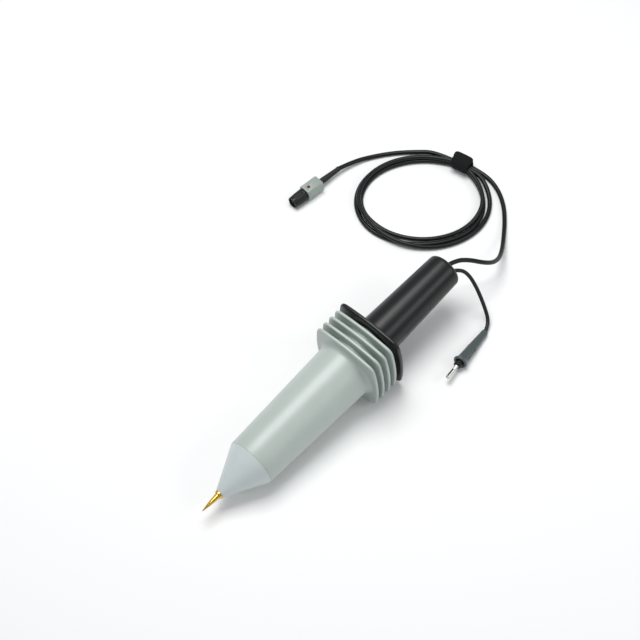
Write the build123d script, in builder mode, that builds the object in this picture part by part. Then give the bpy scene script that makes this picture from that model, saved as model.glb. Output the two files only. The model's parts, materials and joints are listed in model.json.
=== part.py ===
from build123d import *

import math
import os

# A high-voltage oscilloscope probe lying on a bench, as it would come apart: the probe head with its
# fins, the handle, the divider inside, the screened lead coiled and tied, the plug end that fits the
# oscilloscope, and the earth lead with its plug.
#
# Millimetres, +Z up, bench at z = 0. +X points from the tip to the handle, along the bench, and the
# origin is under the middle of the probe. The probe rests on the front edge of its barrel and on its first
# fin, so its axis rises towards the handle and its tip is clear of the bench. Distances named *_at run
# along a piece's own axis, from its front end.

# ---------------------------------------------------------------- driving dimensions: probe, lengthwise
tip_reach = 22.0
tip_collar_length = 2.4
cone_length = 43.8
barrel_length = 138.2          # cone to first fin
fin_count = 4
fin_thickness = 3.2
fin_pitch = 8.8
barrel_tail = 3.85             # last fin to the end of the barrel
gasket_thickness = 1.4
guard_thickness = 4.0
handle_length = 111.2

# ---------------------------------------------------------------- driving dimensions: probe, across
tip_radius = 0.4
tip_base_radius = 3.1
tip_bulge = 0.35
tip_collar_radius = 4.7
tip_stud_radius = 2.0
tip_stud_length = 12.0
tip_thread_clearance = 0.05
cone_rear_radius = 26.7
barrel_front_radius = 26.7
barrel_rear_radius = 31.2
barrel_wall = 3.6
barrel_rear_bore = 22.0        # behind the bulkhead, where the wall is thick enough for screws
fin_half_flat = 40.5           # axis to the middle of a side
fin_side_radius = 175.0
fin_corner_radius = 8.2
fin_edge_radius = 1.3
fin_root_radius = 5.0
guard_overhang = 1.0           # how far the guard stands out past the fins
guard_edge_radius = 1.6
handle_front_radius = 22.35
handle_rear_radius = 18.7
handle_wall = 3.0
handle_end_wall = 6.0
handle_end_round = 4.5
handle_root_radius = 1.6

# ---------------------------------------------------------------- driving dimensions: inside the probe
spigot_length = 8.0
spigot_clearance = 0.1
spigot_seat = 3.7              # step between the barrel's outside and the spigot's seat
cone_wall = 4.0
oring_width = 2.4
socket_front_radius = 3.2
socket_body_radius = 5.5
socket_front_length = 6.0
socket_body_length = 12.0
spring_wire = 0.8
spring_radius = 3.6
spring_room = 12.0
spring_turns = 5
cap_radius = 7.2
cap_length = 10.0
cap_base = 2.0
resistor_radius = 6.3
resistor_length = 142.0
resistor_stud_radius = 1.5
resistor_stud_length = 14.0
output_wire_radius = 0.5
output_wire_length = 10.0
sleeve_gap = 0.2
sleeve_wall = 1.2
screen_sleeve_wall = 0.6
screen_sleeve_length = 43.0
bulkhead_thickness = 6.0
fill_gap = 2.0                 # air between the cone's spigot and the potting

board_thickness = 1.6
board_width = 26.0
board_length = 80.0
board_gap = 5.0                # bulkhead to board
screen_tube_radius = 14.8
screen_tube_wall = 0.6
screen_tube_gap = 29.05         # its end to the handle's end
screen_spigot_wall = 2.2
screen_spigot_length = 4.0

guard_screw_circle = 27.0
guard_screw_radius = 1.5
guard_screw_length = 14.0
guard_screw_head_radius = 2.8
guard_screw_head = 2.0
guard_screw_hole = 1.7
small_screw_radius = 1.2
small_screw_head_radius = 2.2
small_screw_head = 1.5

# ---------------------------------------------------------------- driving dimensions: leads
coax_diameter = 4.8
earth_diameter = 4.0
exit_spacing = 8.5
coax_exit_side = 1.5           # sideways from the probe axis
grommet_flange = 1.4
grommet_lip = 2.0
grommet_neck = 1.0
rear_cap_radius = 13.6
rear_cap_thickness = 3.0
rear_cap_spigot_radius = 12.2
tongue_length = 23.0
tongue_thickness = 4.6
clamp_thickness = 2.5
clamp_length = 8.0

coil_width = 147.2             # outside of the coil along its long axis
coil_depth = 123.3
coil_hole_width = 126.0
coil_hole_depth = 98.6
coil_hole_shift = (-1.1, 4.0)
coil_centre = (252.8, 95.7)
coil_heading = -47.1           # its long axis, from +X
coil_tie_angle = 53.0          # place of the strap round the coil, from the long axis
tie_shift = 3.4                # strap outside the middle of the coil's band
strap_width = 20.0
strap_side = 3.4
strap_base = 2.0
strap_top = 3.6
strap_corner = 3.0
strap_tab = (9.0, 3.0)          # length, thickness

# ---------------------------------------------------------------- driving dimensions: plug end
bnc_mouth = (154.6, 194.4)
bnc_heading = -4.4             # from the mouth back towards the cable, from +X
box_width = 14.8
box_length = 21.0
box_wall = 1.5
box_bevel = 2.4
box_gap = 0.4                  # collar to box
boot_length = 29.0
boot_rear_radius = 3.55
boot_tip_radius = 2.75
boot_flange = 1.2
collar_length = 17.4
collar_front_radius = 6.4
collar_rear_radius = 7.25
collar_bore_radius = 4.95
collar_bore_length = 9.5
collar_chamber_radius = 6.0
collar_lip = 1.0
collar_lip_radius = 5.2
bayonet_slot_width = 2.3
bayonet_slot_depth = 0.75
bayonet_turn = 80.0
bnc_flange_radius = 5.85
bnc_flange_at = 12.0
bnc_flange_length = 1.4
bnc_neck_radius = 4.7
bnc_sleeve_radius = 4.06
bnc_sleeve_wall = 0.6
bnc_sleeve_root_radius = 4.35
bnc_sleeve_at = 1.6
bnc_slit = 0.6
bnc_slit_length = 7.0
bnc_insulator_at = 7.4
bnc_pin_radius = 0.675
bnc_pin_at = 2.6
bnc_pin_shank_radius = 1.1
nut_radius = 5.7
nut_thickness = 1.6
trimmer_at = 23.6
trimmer_radius = 1.7
trimmer_clearance = 0.1
trimmer_base_radius = 2.4
trimmer_base_height = 4.4
trimmer_slot = 0.6
box_board_thickness = 0.8
box_screw_inset = 5.0

# ---------------------------------------------------------------- driving dimensions: earth plug
plug_grip_end = (172.2, -60.1)
plug_heading = 187.9           # from the cable towards the pin, from +X
grip_length = 43.5
grip_rear_radius = 3.4
grip_front_radius = 5.6
plug_collar_radius = 7.5
plug_collar_length = 5.0
plug_collar_rim = 2.2
insulator_reach = 5.5          # in front of the collar
insulator_radius = 4.6
plug_pin_radius = 2.0
plug_pin_reach = 18.2
plug_pin_root = 22.0
plug_pin_root_radius = 2.3
plug_pin_slot = 0.8
plug_pin_slot_length = 9.0
plug_spring_thickness = 0.5
grip_recess = (16.6, 3.8, 1.0)  # length, width, depth
grip_recess_gap = 3.0           # collar to recess

# ---------------------------------------------------------------- driving dimensions: small pieces
post_length = 12.0
post_width = 5.0
post_side = 8.5
post_height = 6.0
capacitor = (8.0, 4.5, 7.0)
capacitor_first = 20.0
capacitor_pitch = 13.0
lower_resistor_radius = 1.7
lower_resistor_length = 9.0
resistor_lead_radius = 0.35
box_post_radius = 1.7
box_screw_radius = 0.9
box_screw_head_radius = 1.7
box_screw_head = 1.2
box_screw_length = 9.0
box_board_width = 10.0
spindle_radius = 0.8
washer_count = 3
washer_thickness = 0.4

# ---------------------------------------------------------------- stations along the probe, from its tip
collar_at = tip_reach
cone_at = collar_at + tip_collar_length
barrel_at = cone_at + cone_length
fins_at = barrel_at + barrel_length
barrel_end_at = fins_at + (fin_count - 1) * fin_pitch + fin_thickness + barrel_tail
guard_at = barrel_end_at + gasket_thickness
handle_at = guard_at + guard_thickness
rear_at = handle_at + handle_length
socket_end_at = cone_at + socket_front_length + socket_body_length
front_cap_at = socket_end_at + spring_room
resistor_at = front_cap_at + cap_base
resistor_end_at = resistor_at + resistor_length
rear_cap_end_at = resistor_end_at + cap_base
bulkhead_at = rear_cap_end_at + 3.0
bulkhead_end_at = bulkhead_at + bulkhead_thickness
board_at = bulkhead_end_at + board_gap
board_end_at = board_at + board_length

# ---------------------------------------------------------------- how the probe lies
# The bench touches the front edge of the barrel and the rounded lower edge of the first fin: a line from
# that edge that touches a circle, the round of the fin, drawn in the probe's own lengthwise plane.
fin_round_ahead = fins_at + fin_edge_radius - barrel_at
fin_round_below = fin_half_flat - fin_edge_radius - barrel_front_radius
probe_tilt = (math.atan2(fin_round_below, fin_round_ahead)
              + math.asin(fin_edge_radius / math.hypot(fin_round_ahead, fin_round_below)))
rear_round_reach = handle_rear_radius - handle_end_round
probe_back = ((rear_at - handle_end_round) * math.cos(probe_tilt)
              + rear_round_reach * math.sin(probe_tilt) + handle_end_round)
probe_front = tip_radius * math.cos(probe_tilt) - tip_radius
tip_height = barrel_front_radius * math.cos(probe_tilt) - barrel_at * math.sin(probe_tilt)
tip_point = (-(probe_front + probe_back) / 2, 0, tip_height)


def turning_frame(origin, direction):
    """A turned assembly's cross-section plane at its front end, its lengthwise plane and its axis.

    In the cross-section plane x is level and y is up; in the lengthwise plane x runs along the axis.
    """
    forward = Vector(*direction).normalized()
    side = Vector(0, 0, 1).cross(forward).normalized()
    across = Plane(origin=origin, x_dir=side, z_dir=forward)
    along = Plane(origin=origin, x_dir=forward, z_dir=-side)
    return across, along, Axis(origin, tuple(forward))


def outline(plane, *points):
    """A flat face with straight sides through the points, drawn on the plane."""
    with BuildSketch(plane) as face:
        with BuildLine():
            Polyline(*points, close=True)
        make_face()
    return face.sketch


def band(plane, start, end, inner, outer):
    """The lengthwise half-section of a plain ring or tube."""
    return outline(plane, (start, inner), (end, inner), (end, outer), (start, outer))


def bowed_square(plane, half_flat, side_radius, corner_radius):
    """A square with bowed sides and round corners: the outline of a fin and of the hand guard."""
    rise = side_radius - half_flat
    corner = (math.sqrt(2 * side_radius**2 - rise**2) - rise) / 2
    with BuildSketch(plane) as face:
        with BuildLine():
            for quarter in range(4):
                ThreePointArc(*[Vector(x, y).rotate(Axis.Z, 90 * quarter)
                                for x, y in ((corner, -corner), (half_flat, 0), (corner, corner))])
        make_face()
        fillet(face.vertices(), corner_radius)
    return face.sketch


def bowed_plate(plane, half_flat, thickness, edge_radius, hole_radius):
    """A fin or the hand guard: a bowed square plate with rounded edges, open in the middle."""
    with BuildPart() as plate:
        extrude(bowed_square(plane, half_flat, fin_side_radius, fin_corner_radius), amount=thickness)
        fillet(plate.faces().filter_by(GeomType.PLANE).edges(), edge_radius)
        with BuildSketch(plane):
            Circle(hole_radius)
        extrude(amount=thickness, mode=Mode.SUBTRACT)
    return plate.part


def arc_radii(points, diameter, name):
    """One radius for each corner of a cord's route, as large as its two runs allow."""
    spots = [Vector(*point) for point in points]
    radii = []
    for before, corner, after in zip(spots, spots[1:], spots[2:]):
        shorter = min((corner - before).length, (after - corner).length)
        turn = math.radians((corner - before).get_angle(after - corner))
        radii.append(0.45 * shorter / math.tan(turn / 2))
    print(f"{name}: radii", [round(radius, 1) for radius in radii], "least in diameters",
          round(min(radii) / diameter, 1))
    return radii


def cord_route(points, diameter, name):
    """A cord's centre line: straight runs joined by tangent arcs."""
    with BuildLine() as route:
        FilletPolyline(*points, radius=arc_radii(points, diameter, name))
    return route.line


def cord_section(route, diameter):
    """The round section of a cord at the start of its route."""
    with BuildSketch(Plane(origin=route @ 0, z_dir=route % 0)) as face:
        Circle(diameter / 2)
    return face.sketch


def spot(plane, side, up, along):
    """A point given by its place in a cross-section plane and its distance along the axis."""
    return plane.from_local_coords(Vector(side, up, along))


pieces = {}
probe_across, probe_along, probe_axis = turning_frame(
    tip_point, (math.cos(probe_tilt), 0, math.sin(probe_tilt)))

# ================================================================ probe head
# The contact tip: a hard needle of turned brass with a collar and a threaded stud.
with BuildPart() as probe_tip:
    slope = math.atan2(tip_base_radius - tip_radius, tip_reach - tip_radius)
    start_along = tip_radius * (1 - math.sin(slope))
    start_up = tip_radius * math.cos(slope)
    middle = ((start_along + collar_at - 0.8) / 2, (start_up + tip_base_radius) / 2 + tip_bulge)
    with BuildSketch(probe_along):
        with BuildLine():
            round_middle = (tip_radius * (1 - math.cos(math.pi / 4 - slope / 2)),
                            tip_radius * math.sin(math.pi / 4 - slope / 2))
            ThreePointArc((0, 0), round_middle, (start_along, start_up))
            ThreePointArc((start_along, start_up), middle, (collar_at - 0.8, tip_base_radius))
            Polyline((collar_at - 0.8, tip_base_radius), (collar_at, tip_base_radius - 0.5),
                     (collar_at, tip_collar_radius - 0.5), (collar_at + 0.5, tip_collar_radius),
                     (cone_at, tip_collar_radius), (cone_at, tip_stud_radius),
                     (cone_at + tip_stud_length - 0.5, tip_stud_radius),
                     (cone_at + tip_stud_length, tip_stud_radius - 0.5),
                     (cone_at + tip_stud_length, 0), (0, 0))
        make_face()
    revolve(axis=probe_axis)
pieces["probe_tip"] = probe_tip

# The brass socket moulded into the cone, which the tip screws into.
socket_bore = tip_stud_radius + tip_thread_clearance
socket_step_at = cone_at + socket_front_length
socket_floor_at = cone_at + tip_stud_length + 1.0
with BuildPart() as tip_socket:
    revolve(outline(probe_along, (cone_at, socket_bore), (cone_at, socket_front_radius),
                    (socket_step_at, socket_front_radius), (socket_step_at, socket_body_radius),
                    (socket_end_at, socket_body_radius), (socket_end_at, spring_radius - spring_wire),
                    (socket_end_at + 3, spring_radius - spring_wire), (socket_end_at + 3, 0),
                    (socket_floor_at, 0), (socket_floor_at, socket_bore)), axis=probe_axis)
pieces["tip_socket"] = tip_socket

# The moulded cone, with a spigot that seats in the barrel and a groove for its seal.
spigot_radius = barrel_front_radius - spigot_seat - spigot_clearance
spigot_end_at = barrel_at + spigot_length
spigot_bore = spigot_radius - 3.0
cone_slope = (cone_rear_radius - tip_collar_radius) / cone_length
cone_inset = cone_wall * math.hypot(1, cone_slope)
hollow_at = socket_end_at - 2.0
hollow_radius = tip_collar_radius + (hollow_at - cone_at) * cone_slope - cone_inset
hollow_end_at = hollow_at + (spigot_bore - hollow_radius) / cone_slope
groove_at = barrel_at + 2.5
groove_floor = spigot_radius - 1.5
with BuildPart() as nose_cone:
    revolve(outline(probe_along, (cone_at, socket_front_radius), (cone_at, tip_collar_radius),
                    (barrel_at, cone_rear_radius), (barrel_at, spigot_radius),
                    (groove_at, spigot_radius), (groove_at, groove_floor),
                    (groove_at + oring_width, groove_floor), (groove_at + oring_width, spigot_radius),
                    (spigot_end_at, spigot_radius), (spigot_end_at, spigot_bore),
                    (hollow_end_at, spigot_bore), (hollow_at, hollow_radius),
                    (hollow_at, socket_body_radius), (socket_step_at, socket_body_radius),
                    (socket_step_at, socket_front_radius)), axis=probe_axis)
pieces["nose_cone"] = nose_cone

# The rubber seal in the cone's groove.
seat_radius = barrel_front_radius - spigot_seat
with BuildPart() as nose_seal:
    with BuildSketch(probe_along):
        with Locations((groove_at + oring_width / 2, (groove_floor + seat_radius) / 2)):
            RectangleRounded(oring_width - 0.2, seat_radius - groove_floor, 0.6)
    revolve(axis=probe_axis)
pieces["nose_seal"] = nose_seal

# The barrel, one moulding with its fins. The front fin grows out of the barrel in a soft curve.
barrel_slope = (barrel_rear_radius - barrel_front_radius) / barrel_length
bore_front_at = spigot_end_at + 1.0
bore_front = barrel_front_radius + (bore_front_at - barrel_at) * barrel_slope - barrel_wall
bore_rear = barrel_front_radius + (bulkhead_end_at - barrel_at) * barrel_slope - barrel_wall
flare_at = fins_at - fin_root_radius
flare_radius = barrel_front_radius + (flare_at - barrel_at) * barrel_slope
fin_middle_at = fins_at + fin_thickness / 2
with BuildPart() as barrel:
    with BuildSketch(probe_along):
        with BuildLine():
            flare_top = (fins_at, barrel_rear_radius + fin_root_radius)
            Polyline((barrel_at, seat_radius), (barrel_at, barrel_front_radius), (flare_at, flare_radius))
            TangentArc((flare_at, flare_radius), flare_top, tangent=(1, barrel_slope))
            Polyline(flare_top, (fin_middle_at, barrel_rear_radius + fin_root_radius),
                     (fin_middle_at, barrel_rear_radius), (barrel_end_at, barrel_rear_radius),
                     (barrel_end_at, barrel_rear_bore), (bulkhead_end_at, barrel_rear_bore),
                     (bulkhead_end_at, bore_rear), (bore_front_at, bore_front),
                     (bore_front_at, seat_radius), (barrel_at, seat_radius))
        make_face()
    revolve(axis=probe_axis)
    for fin in range(fin_count):
        add(bowed_plate(probe_across.offset(fins_at + fin * fin_pitch), fin_half_flat, fin_thickness,
                        fin_edge_radius, (barrel_rear_radius + bore_rear) / 2))
    with BuildSketch(probe_across.offset(barrel_end_at)):
        with PolarLocations(guard_screw_circle, 4, start_angle=45):
            Circle(guard_screw_radius)
    extrude(amount=-guard_screw_length, mode=Mode.SUBTRACT)
pieces["barrel"] = barrel

# ================================================================ the divider inside the barrel
# A stiff spring that presses the divider's front cap and carries the current from the socket.
with BuildPart() as contact_spring:
    with BuildLine() as coil_line:
        Helix(pitch=(spring_room - spring_wire) / spring_turns, height=spring_room - spring_wire,
              radius=spring_radius, center=spot(probe_across, 0, 0, socket_end_at + spring_wire / 2),
              direction=probe_axis.direction)
    with BuildSketch(Plane(origin=coil_line.line @ 0, z_dir=coil_line.line % 0)):
        Circle(spring_wire / 2)
    sweep(path=coil_line.line, is_frenet=True)
pieces["contact_spring"] = contact_spring

# The brass caps pressed on both ends of the ceramic resistor.
with BuildPart() as resistor_cap_front:
    revolve(outline(probe_along, (front_cap_at, 0), (front_cap_at, cap_radius),
                    (front_cap_at + cap_length, cap_radius), (front_cap_at + cap_length, resistor_radius),
                    (resistor_at, resistor_radius), (resistor_at, 0)), axis=probe_axis)
pieces["resistor_cap_front"] = resistor_cap_front

stud_end_at = rear_cap_end_at + resistor_stud_length
with BuildPart() as resistor_cap_rear:
    revolve(outline(probe_along, (resistor_end_at, 0), (resistor_end_at, resistor_radius),
                    (rear_cap_end_at - cap_length, resistor_radius),
                    (rear_cap_end_at - cap_length, cap_radius), (rear_cap_end_at, cap_radius),
                    (rear_cap_end_at, resistor_stud_radius), (stud_end_at, resistor_stud_radius),
                    (stud_end_at, output_wire_radius), (stud_end_at + output_wire_length,
                                                         output_wire_radius),
                    (stud_end_at + output_wire_length, 0)), axis=probe_axis)
pieces["resistor_cap_rear"] = resistor_cap_rear

# The ceramic rod that carries the resistor's film.
with BuildPart() as hv_resistor:
    revolve(band(probe_along, resistor_at, resistor_end_at, 0, resistor_radius), axis=probe_axis)
pieces["hv_resistor"] = hv_resistor

# A plastic tube over the resistor, and a metal sleeve round its low end that evens out the field.
tube_inner = cap_radius + sleeve_gap
tube_outer = tube_inner + sleeve_wall
screen_sleeve_outer = tube_outer + screen_sleeve_wall
screen_sleeve_at = bulkhead_at - screen_sleeve_length
with BuildPart() as resistor_tube:
    revolve(band(probe_along, front_cap_at - 1.0, bulkhead_at, tube_inner, tube_outer), axis=probe_axis)
pieces["resistor_tube"] = resistor_tube

with BuildPart() as screen_sleeve:
    revolve(band(probe_along, screen_sleeve_at, bulkhead_at, tube_outer, screen_sleeve_outer),
            axis=probe_axis)
pieces["screen_sleeve"] = screen_sleeve

# The silicone potting that fills the barrel round the divider.
fill_at = spigot_end_at + fill_gap
fill_front = bore_front + (fill_at - bore_front_at) * barrel_slope
fill_rear = bore_rear - bulkhead_thickness * barrel_slope
with BuildPart() as silicone_fill:
    revolve(outline(probe_along, (fill_at, tube_outer), (fill_at, fill_front), (bulkhead_at, fill_rear),
                    (bulkhead_at, screen_sleeve_outer), (screen_sleeve_at, screen_sleeve_outer),
                    (screen_sleeve_at, tube_outer)), axis=probe_axis)
pieces["silicone_fill"] = silicone_fill

# The moulded bulkhead that closes the potted space and carries the board and the screening tube.
screen_spigot_end_at = bulkhead_end_at + screen_spigot_length
board_top = -output_wire_radius
board_bottom = board_top - board_thickness
board_screw_at = board_at + 3.0
with BuildPart() as bulkhead:
    revolve(outline(probe_along, (bulkhead_at, resistor_stud_radius), (bulkhead_at, fill_rear),
                    (bulkhead_end_at, bore_rear), (bulkhead_end_at, screen_tube_radius),
                    (screen_spigot_end_at, screen_tube_radius),
                    (screen_spigot_end_at, screen_tube_radius - screen_spigot_wall),
                    (bulkhead_end_at, screen_tube_radius - screen_spigot_wall),
                    (bulkhead_end_at, resistor_stud_radius)), axis=probe_axis)
    with BuildSketch(probe_across.offset(bulkhead_end_at)):
        with Locations((-post_side, board_bottom - post_height / 2),
                       (post_side, board_bottom - post_height / 2)):
            Rectangle(post_width, post_height)
    extrude(amount=post_length)
    with BuildSketch(Plane(origin=spot(probe_across, 0, board_bottom, board_screw_at),
                           x_dir=(0, 1, 0), z_dir=probe_across.y_dir)):
        with Locations((-post_side, 0), (post_side, 0)):
            Circle(small_screw_radius)
    extrude(amount=-(post_height - 1.0), mode=Mode.SUBTRACT)
pieces["bulkhead"] = bulkhead

# ================================================================ the low-voltage board in the handle
board_top_plane = Plane(origin=spot(probe_across, 0, board_top, board_at),
                        x_dir=probe_axis.direction, z_dir=probe_across.y_dir)
with BuildPart() as divider_board:
    with BuildSketch(board_top_plane):
        with Locations((board_length / 2, 0)):
            Rectangle(board_length, board_width)
        with Locations((board_screw_at - board_at, -post_side), (board_screw_at - board_at, post_side)):
            Circle(small_screw_radius + 0.1, mode=Mode.SUBTRACT)
    extrude(amount=-board_thickness)
    fillet(divider_board.edges().filter_by(Axis(tip_point, tuple(probe_across.y_dir)))
           .group_by(SortBy.LENGTH)[0].sort_by(probe_axis)[-2:], 2.0)
pieces["divider_board"] = divider_board

with BuildPart() as board_screws:
    with BuildSketch(board_top_plane):
        with Locations((board_screw_at - board_at, -post_side), (board_screw_at - board_at, post_side)):
            Circle(small_screw_head_radius)
    extrude(amount=small_screw_head)
    with BuildSketch(board_top_plane):
        with Locations((board_screw_at - board_at, -post_side), (board_screw_at - board_at, post_side)):
            Circle(small_screw_radius)
    extrude(amount=-(board_thickness + post_height - 2.0))
pieces["board_screws"] = board_screws

# Film capacitors and the lower resistor, standing on the board.
with BuildPart() as divider_capacitors:
    with BuildSketch(board_top_plane):
        for place in range(3):
            with Locations((capacitor_first + place * capacitor_pitch, 6.0)):
                Rectangle(capacitor[0], capacitor[1])
    extrude(amount=capacitor[2])
    fillet(divider_capacitors.faces().group_by(Axis(tip_point, tuple(probe_across.y_dir)))[-1].edges(),
           0.6)
pieces["divider_capacitors"] = divider_capacitors

with BuildPart() as lower_resistor:
    with BuildSketch(probe_across.offset(board_at + capacitor_first)):
        with Locations((-6.5, board_top + lower_resistor_radius)):
            Circle(lower_resistor_radius)
    extrude(amount=lower_resistor_length)
    fillet(lower_resistor.edges().filter_by(GeomType.CIRCLE), 0.6)
    with BuildSketch(probe_across.offset(board_at + capacitor_first - 4.0)):
        with Locations((-6.5, board_top + lower_resistor_radius)):
            Circle(resistor_lead_radius)
    extrude(amount=lower_resistor_length + 8.0)
pieces["lower_resistor"] = lower_resistor

# The aluminium screening tube that slides over the bulkhead's spigot and shields the board.
screen_tube_end_at = rear_at - screen_tube_gap
with BuildPart() as screen_tube:
    revolve(band(probe_along, bulkhead_end_at, screen_tube_end_at, screen_tube_radius,
                 screen_tube_radius + screen_tube_wall), axis=probe_axis)
pieces["screen_tube"] = screen_tube

# ================================================================ handle
# A rubber gasket between the barrel and the hand guard, with holes for the four screws.
with BuildPart() as guard_gasket:
    with BuildSketch(probe_across.offset(barrel_end_at)):
        Circle(barrel_rear_radius)
        Circle(barrel_rear_bore, mode=Mode.SUBTRACT)
        with PolarLocations(guard_screw_circle, 4, start_angle=45):
            Circle(guard_screw_hole, mode=Mode.SUBTRACT)
    extrude(amount=gasket_thickness)
pieces["guard_gasket"] = guard_gasket

# The handle and its hand guard, one moulding in black plastic.
handle_slope = (handle_rear_radius - handle_front_radius) / handle_length
end_wall_at = rear_at - handle_end_wall
counterbore_at = rear_at - rear_cap_thickness
handle_bore_front = handle_front_radius - handle_wall
handle_bore_rear = handle_rear_radius - handle_end_wall * handle_slope - handle_wall
root_at = handle_at + handle_root_radius
root_radius = handle_front_radius + handle_root_radius * handle_slope
round_at = rear_at - handle_end_round
round_radius = handle_rear_radius - handle_end_round * handle_slope
with BuildPart() as handle_shell:
    with BuildSketch(probe_along):
        with BuildLine():
            root_top = (handle_at, handle_front_radius + handle_root_radius)
            round_end = (rear_at, handle_rear_radius - handle_end_round)
            Polyline((guard_at, handle_bore_front), (guard_at, root_top[1]), root_top)
            TangentArc(root_top, (root_at, root_radius), tangent=(0, -1))
            Line((root_at, root_radius), (round_at, round_radius))
            TangentArc((round_at, round_radius), round_end, tangent=(1, handle_slope))
            Polyline(round_end, (rear_at, rear_cap_radius), (counterbore_at, rear_cap_radius),
                     (counterbore_at, rear_cap_spigot_radius), (end_wall_at, rear_cap_spigot_radius),
                     (end_wall_at, handle_bore_rear), (guard_at, handle_bore_front))
        make_face()
    revolve(axis=probe_axis)
    add(bowed_plate(probe_across.offset(guard_at), fin_half_flat + guard_overhang, guard_thickness,
                    guard_edge_radius, handle_front_radius))
    with BuildSketch(probe_across.offset(guard_at)):
        with PolarLocations(guard_screw_circle, 4, start_angle=45):
            Circle(guard_screw_hole)
    extrude(amount=guard_thickness, mode=Mode.SUBTRACT)
pieces["handle_shell"] = handle_shell

# Four pan-head screws that hold the handle to the barrel.
with BuildPart() as guard_screws:
    with BuildSketch(probe_across.offset(handle_at)):
        with PolarLocations(guard_screw_circle, 4, start_angle=45):
            Circle(guard_screw_head_radius)
    extrude(amount=guard_screw_head)
    fillet(guard_screws.faces().filter_by(GeomType.PLANE).group_by(probe_axis)[-1].edges(), 0.8)
    with BuildSketch(probe_across.offset(handle_at)):
        with PolarLocations(guard_screw_circle, 4, start_angle=45):
            Circle(guard_screw_radius)
    extrude(amount=-(guard_thickness + gasket_thickness + guard_screw_length - 2.0))
    with BuildSketch(probe_across.offset(handle_at + guard_screw_head)):
        with PolarLocations(guard_screw_circle, 4, start_angle=45):
            Rectangle(3.0, 0.6)
            Rectangle(0.6, 3.0)
    extrude(amount=-1.0, mode=Mode.SUBTRACT)
pieces["guard_screws"] = guard_screws

# The cap let into the handle's end, with a tongue inside that the leads are clamped to.
earth_exit_side = coax_exit_side - exit_spacing
exits = ((coax_exit_side, coax_diameter / 2), (earth_exit_side, earth_diameter / 2))
tongue_at = end_wall_at - 3.0 - tongue_length
tongue_top = -coax_diameter / 2
tongue_side = (coax_exit_side + earth_exit_side) / 2
tongue_width = exit_spacing + 11.0
clamp_at = tongue_at + 3.0
clamp_screw_sides = ((coax_exit_side - coax_diameter / 2 + earth_exit_side + earth_diameter / 2) / 2,
                     coax_exit_side + coax_diameter / 2 + small_screw_radius + 0.9)
clamp_plane = Plane(origin=spot(probe_across, 0, tongue_top, clamp_at + clamp_length / 2),
                    x_dir=(0, 1, 0), z_dir=probe_across.y_dir)
with BuildPart() as rear_cap:
    revolve(outline(probe_along, (rear_at, 0), (rear_at, rear_cap_radius), (counterbore_at, rear_cap_radius),
                    (counterbore_at, rear_cap_spigot_radius), (end_wall_at - 3.0, rear_cap_spigot_radius),
                    (end_wall_at - 3.0, 0)), axis=probe_axis)
    with BuildSketch(probe_across.offset(tongue_at)):
        with Locations((tongue_side, tongue_top - tongue_thickness / 2)):
            Rectangle(tongue_width, tongue_thickness)
    extrude(amount=tongue_length)
    with BuildSketch(probe_across.offset(rear_at)):
        for side, radius in exits:
            with Locations((side, 0)):
                Circle(radius + grommet_neck)
    extrude(amount=-(handle_end_wall + 3.0), mode=Mode.SUBTRACT)
    with BuildSketch(clamp_plane):
        with Locations(*[(side, 0) for side in clamp_screw_sides]):
            Circle(small_screw_radius)
    extrude(amount=-(tongue_thickness - 1.0), mode=Mode.SUBTRACT)
pieces["rear_cap"] = rear_cap

# Rubber grommets, one round each lead.
for name, (side, radius) in zip(("coax_grommet", "earth_grommet"), exits):
    with BuildPart() as grommet:
        with BuildSketch(probe_across.offset(end_wall_at - 3.0)):
            with Locations((side, 0)):
                Circle(radius + grommet_neck)
                Circle(radius, mode=Mode.SUBTRACT)
        extrude(amount=handle_end_wall + 3.0)
        with BuildSketch(probe_across.offset(rear_at)):
            with Locations((side, 0)):
                Circle(radius + grommet_lip)
                Circle(radius, mode=Mode.SUBTRACT)
        extrude(amount=grommet_flange)
        fillet(grommet.faces().filter_by(GeomType.PLANE).group_by(probe_axis)[-1].edges()
               .filter_by(GeomType.CIRCLE).sort_by(SortBy.RADIUS)[-1:], grommet_flange * 0.6)
    pieces[name] = grommet

# The ends of both leads inside the handle, and the bar that clamps them to the tongue.
exit_at = rear_at + grommet_flange
coax_strip_at = board_end_at + 3.0
with BuildPart() as coax_inner_end:
    with BuildSketch(probe_across.offset(coax_strip_at)):
        with Locations((coax_exit_side, 0)):
            Circle(coax_diameter / 2)
    extrude(amount=exit_at - coax_strip_at)
    with BuildSketch(probe_across.offset(coax_strip_at)):
        with Locations((coax_exit_side, 0)):
            Circle(output_wire_radius)
    extrude(amount=-9.0)
pieces["coax_inner_end"] = coax_inner_end

with BuildPart() as earth_inner_end:
    with BuildSketch(probe_across.offset(tongue_at - 4.0)):
        with Locations((earth_exit_side, 0)):
            Circle(earth_diameter / 2)
    extrude(amount=exit_at - tongue_at + 4.0)
pieces["earth_inner_end"] = earth_inner_end

with BuildPart() as lead_clamp:
    with BuildSketch(probe_across.offset(clamp_at)):
        with Locations((tongue_side, (coax_diameter + clamp_thickness) / 2)):
            Rectangle(tongue_width - 1.0, clamp_thickness)
    extrude(amount=clamp_length)
    with BuildSketch(clamp_plane):
        with Locations(*[(side, 0) for side in clamp_screw_sides]):
            Circle(small_screw_radius + 0.1)
    extrude(amount=coax_diameter + clamp_thickness, mode=Mode.SUBTRACT)
pieces["lead_clamp"] = lead_clamp

with BuildPart() as clamp_screws:
    with BuildSketch(clamp_plane.offset(-(tongue_thickness - 1.5))):
        with Locations(*[(side, 0) for side in clamp_screw_sides]):
            Circle(small_screw_radius)
    extrude(amount=tongue_thickness - 1.5 + coax_diameter + clamp_thickness)
    with BuildSketch(clamp_plane.offset(coax_diameter + clamp_thickness)):
        with Locations(*[(side, 0) for side in clamp_screw_sides]):
            Circle(small_screw_head_radius - 0.4)
    extrude(amount=small_screw_head)
pieces["clamp_screws"] = clamp_screws

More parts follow.
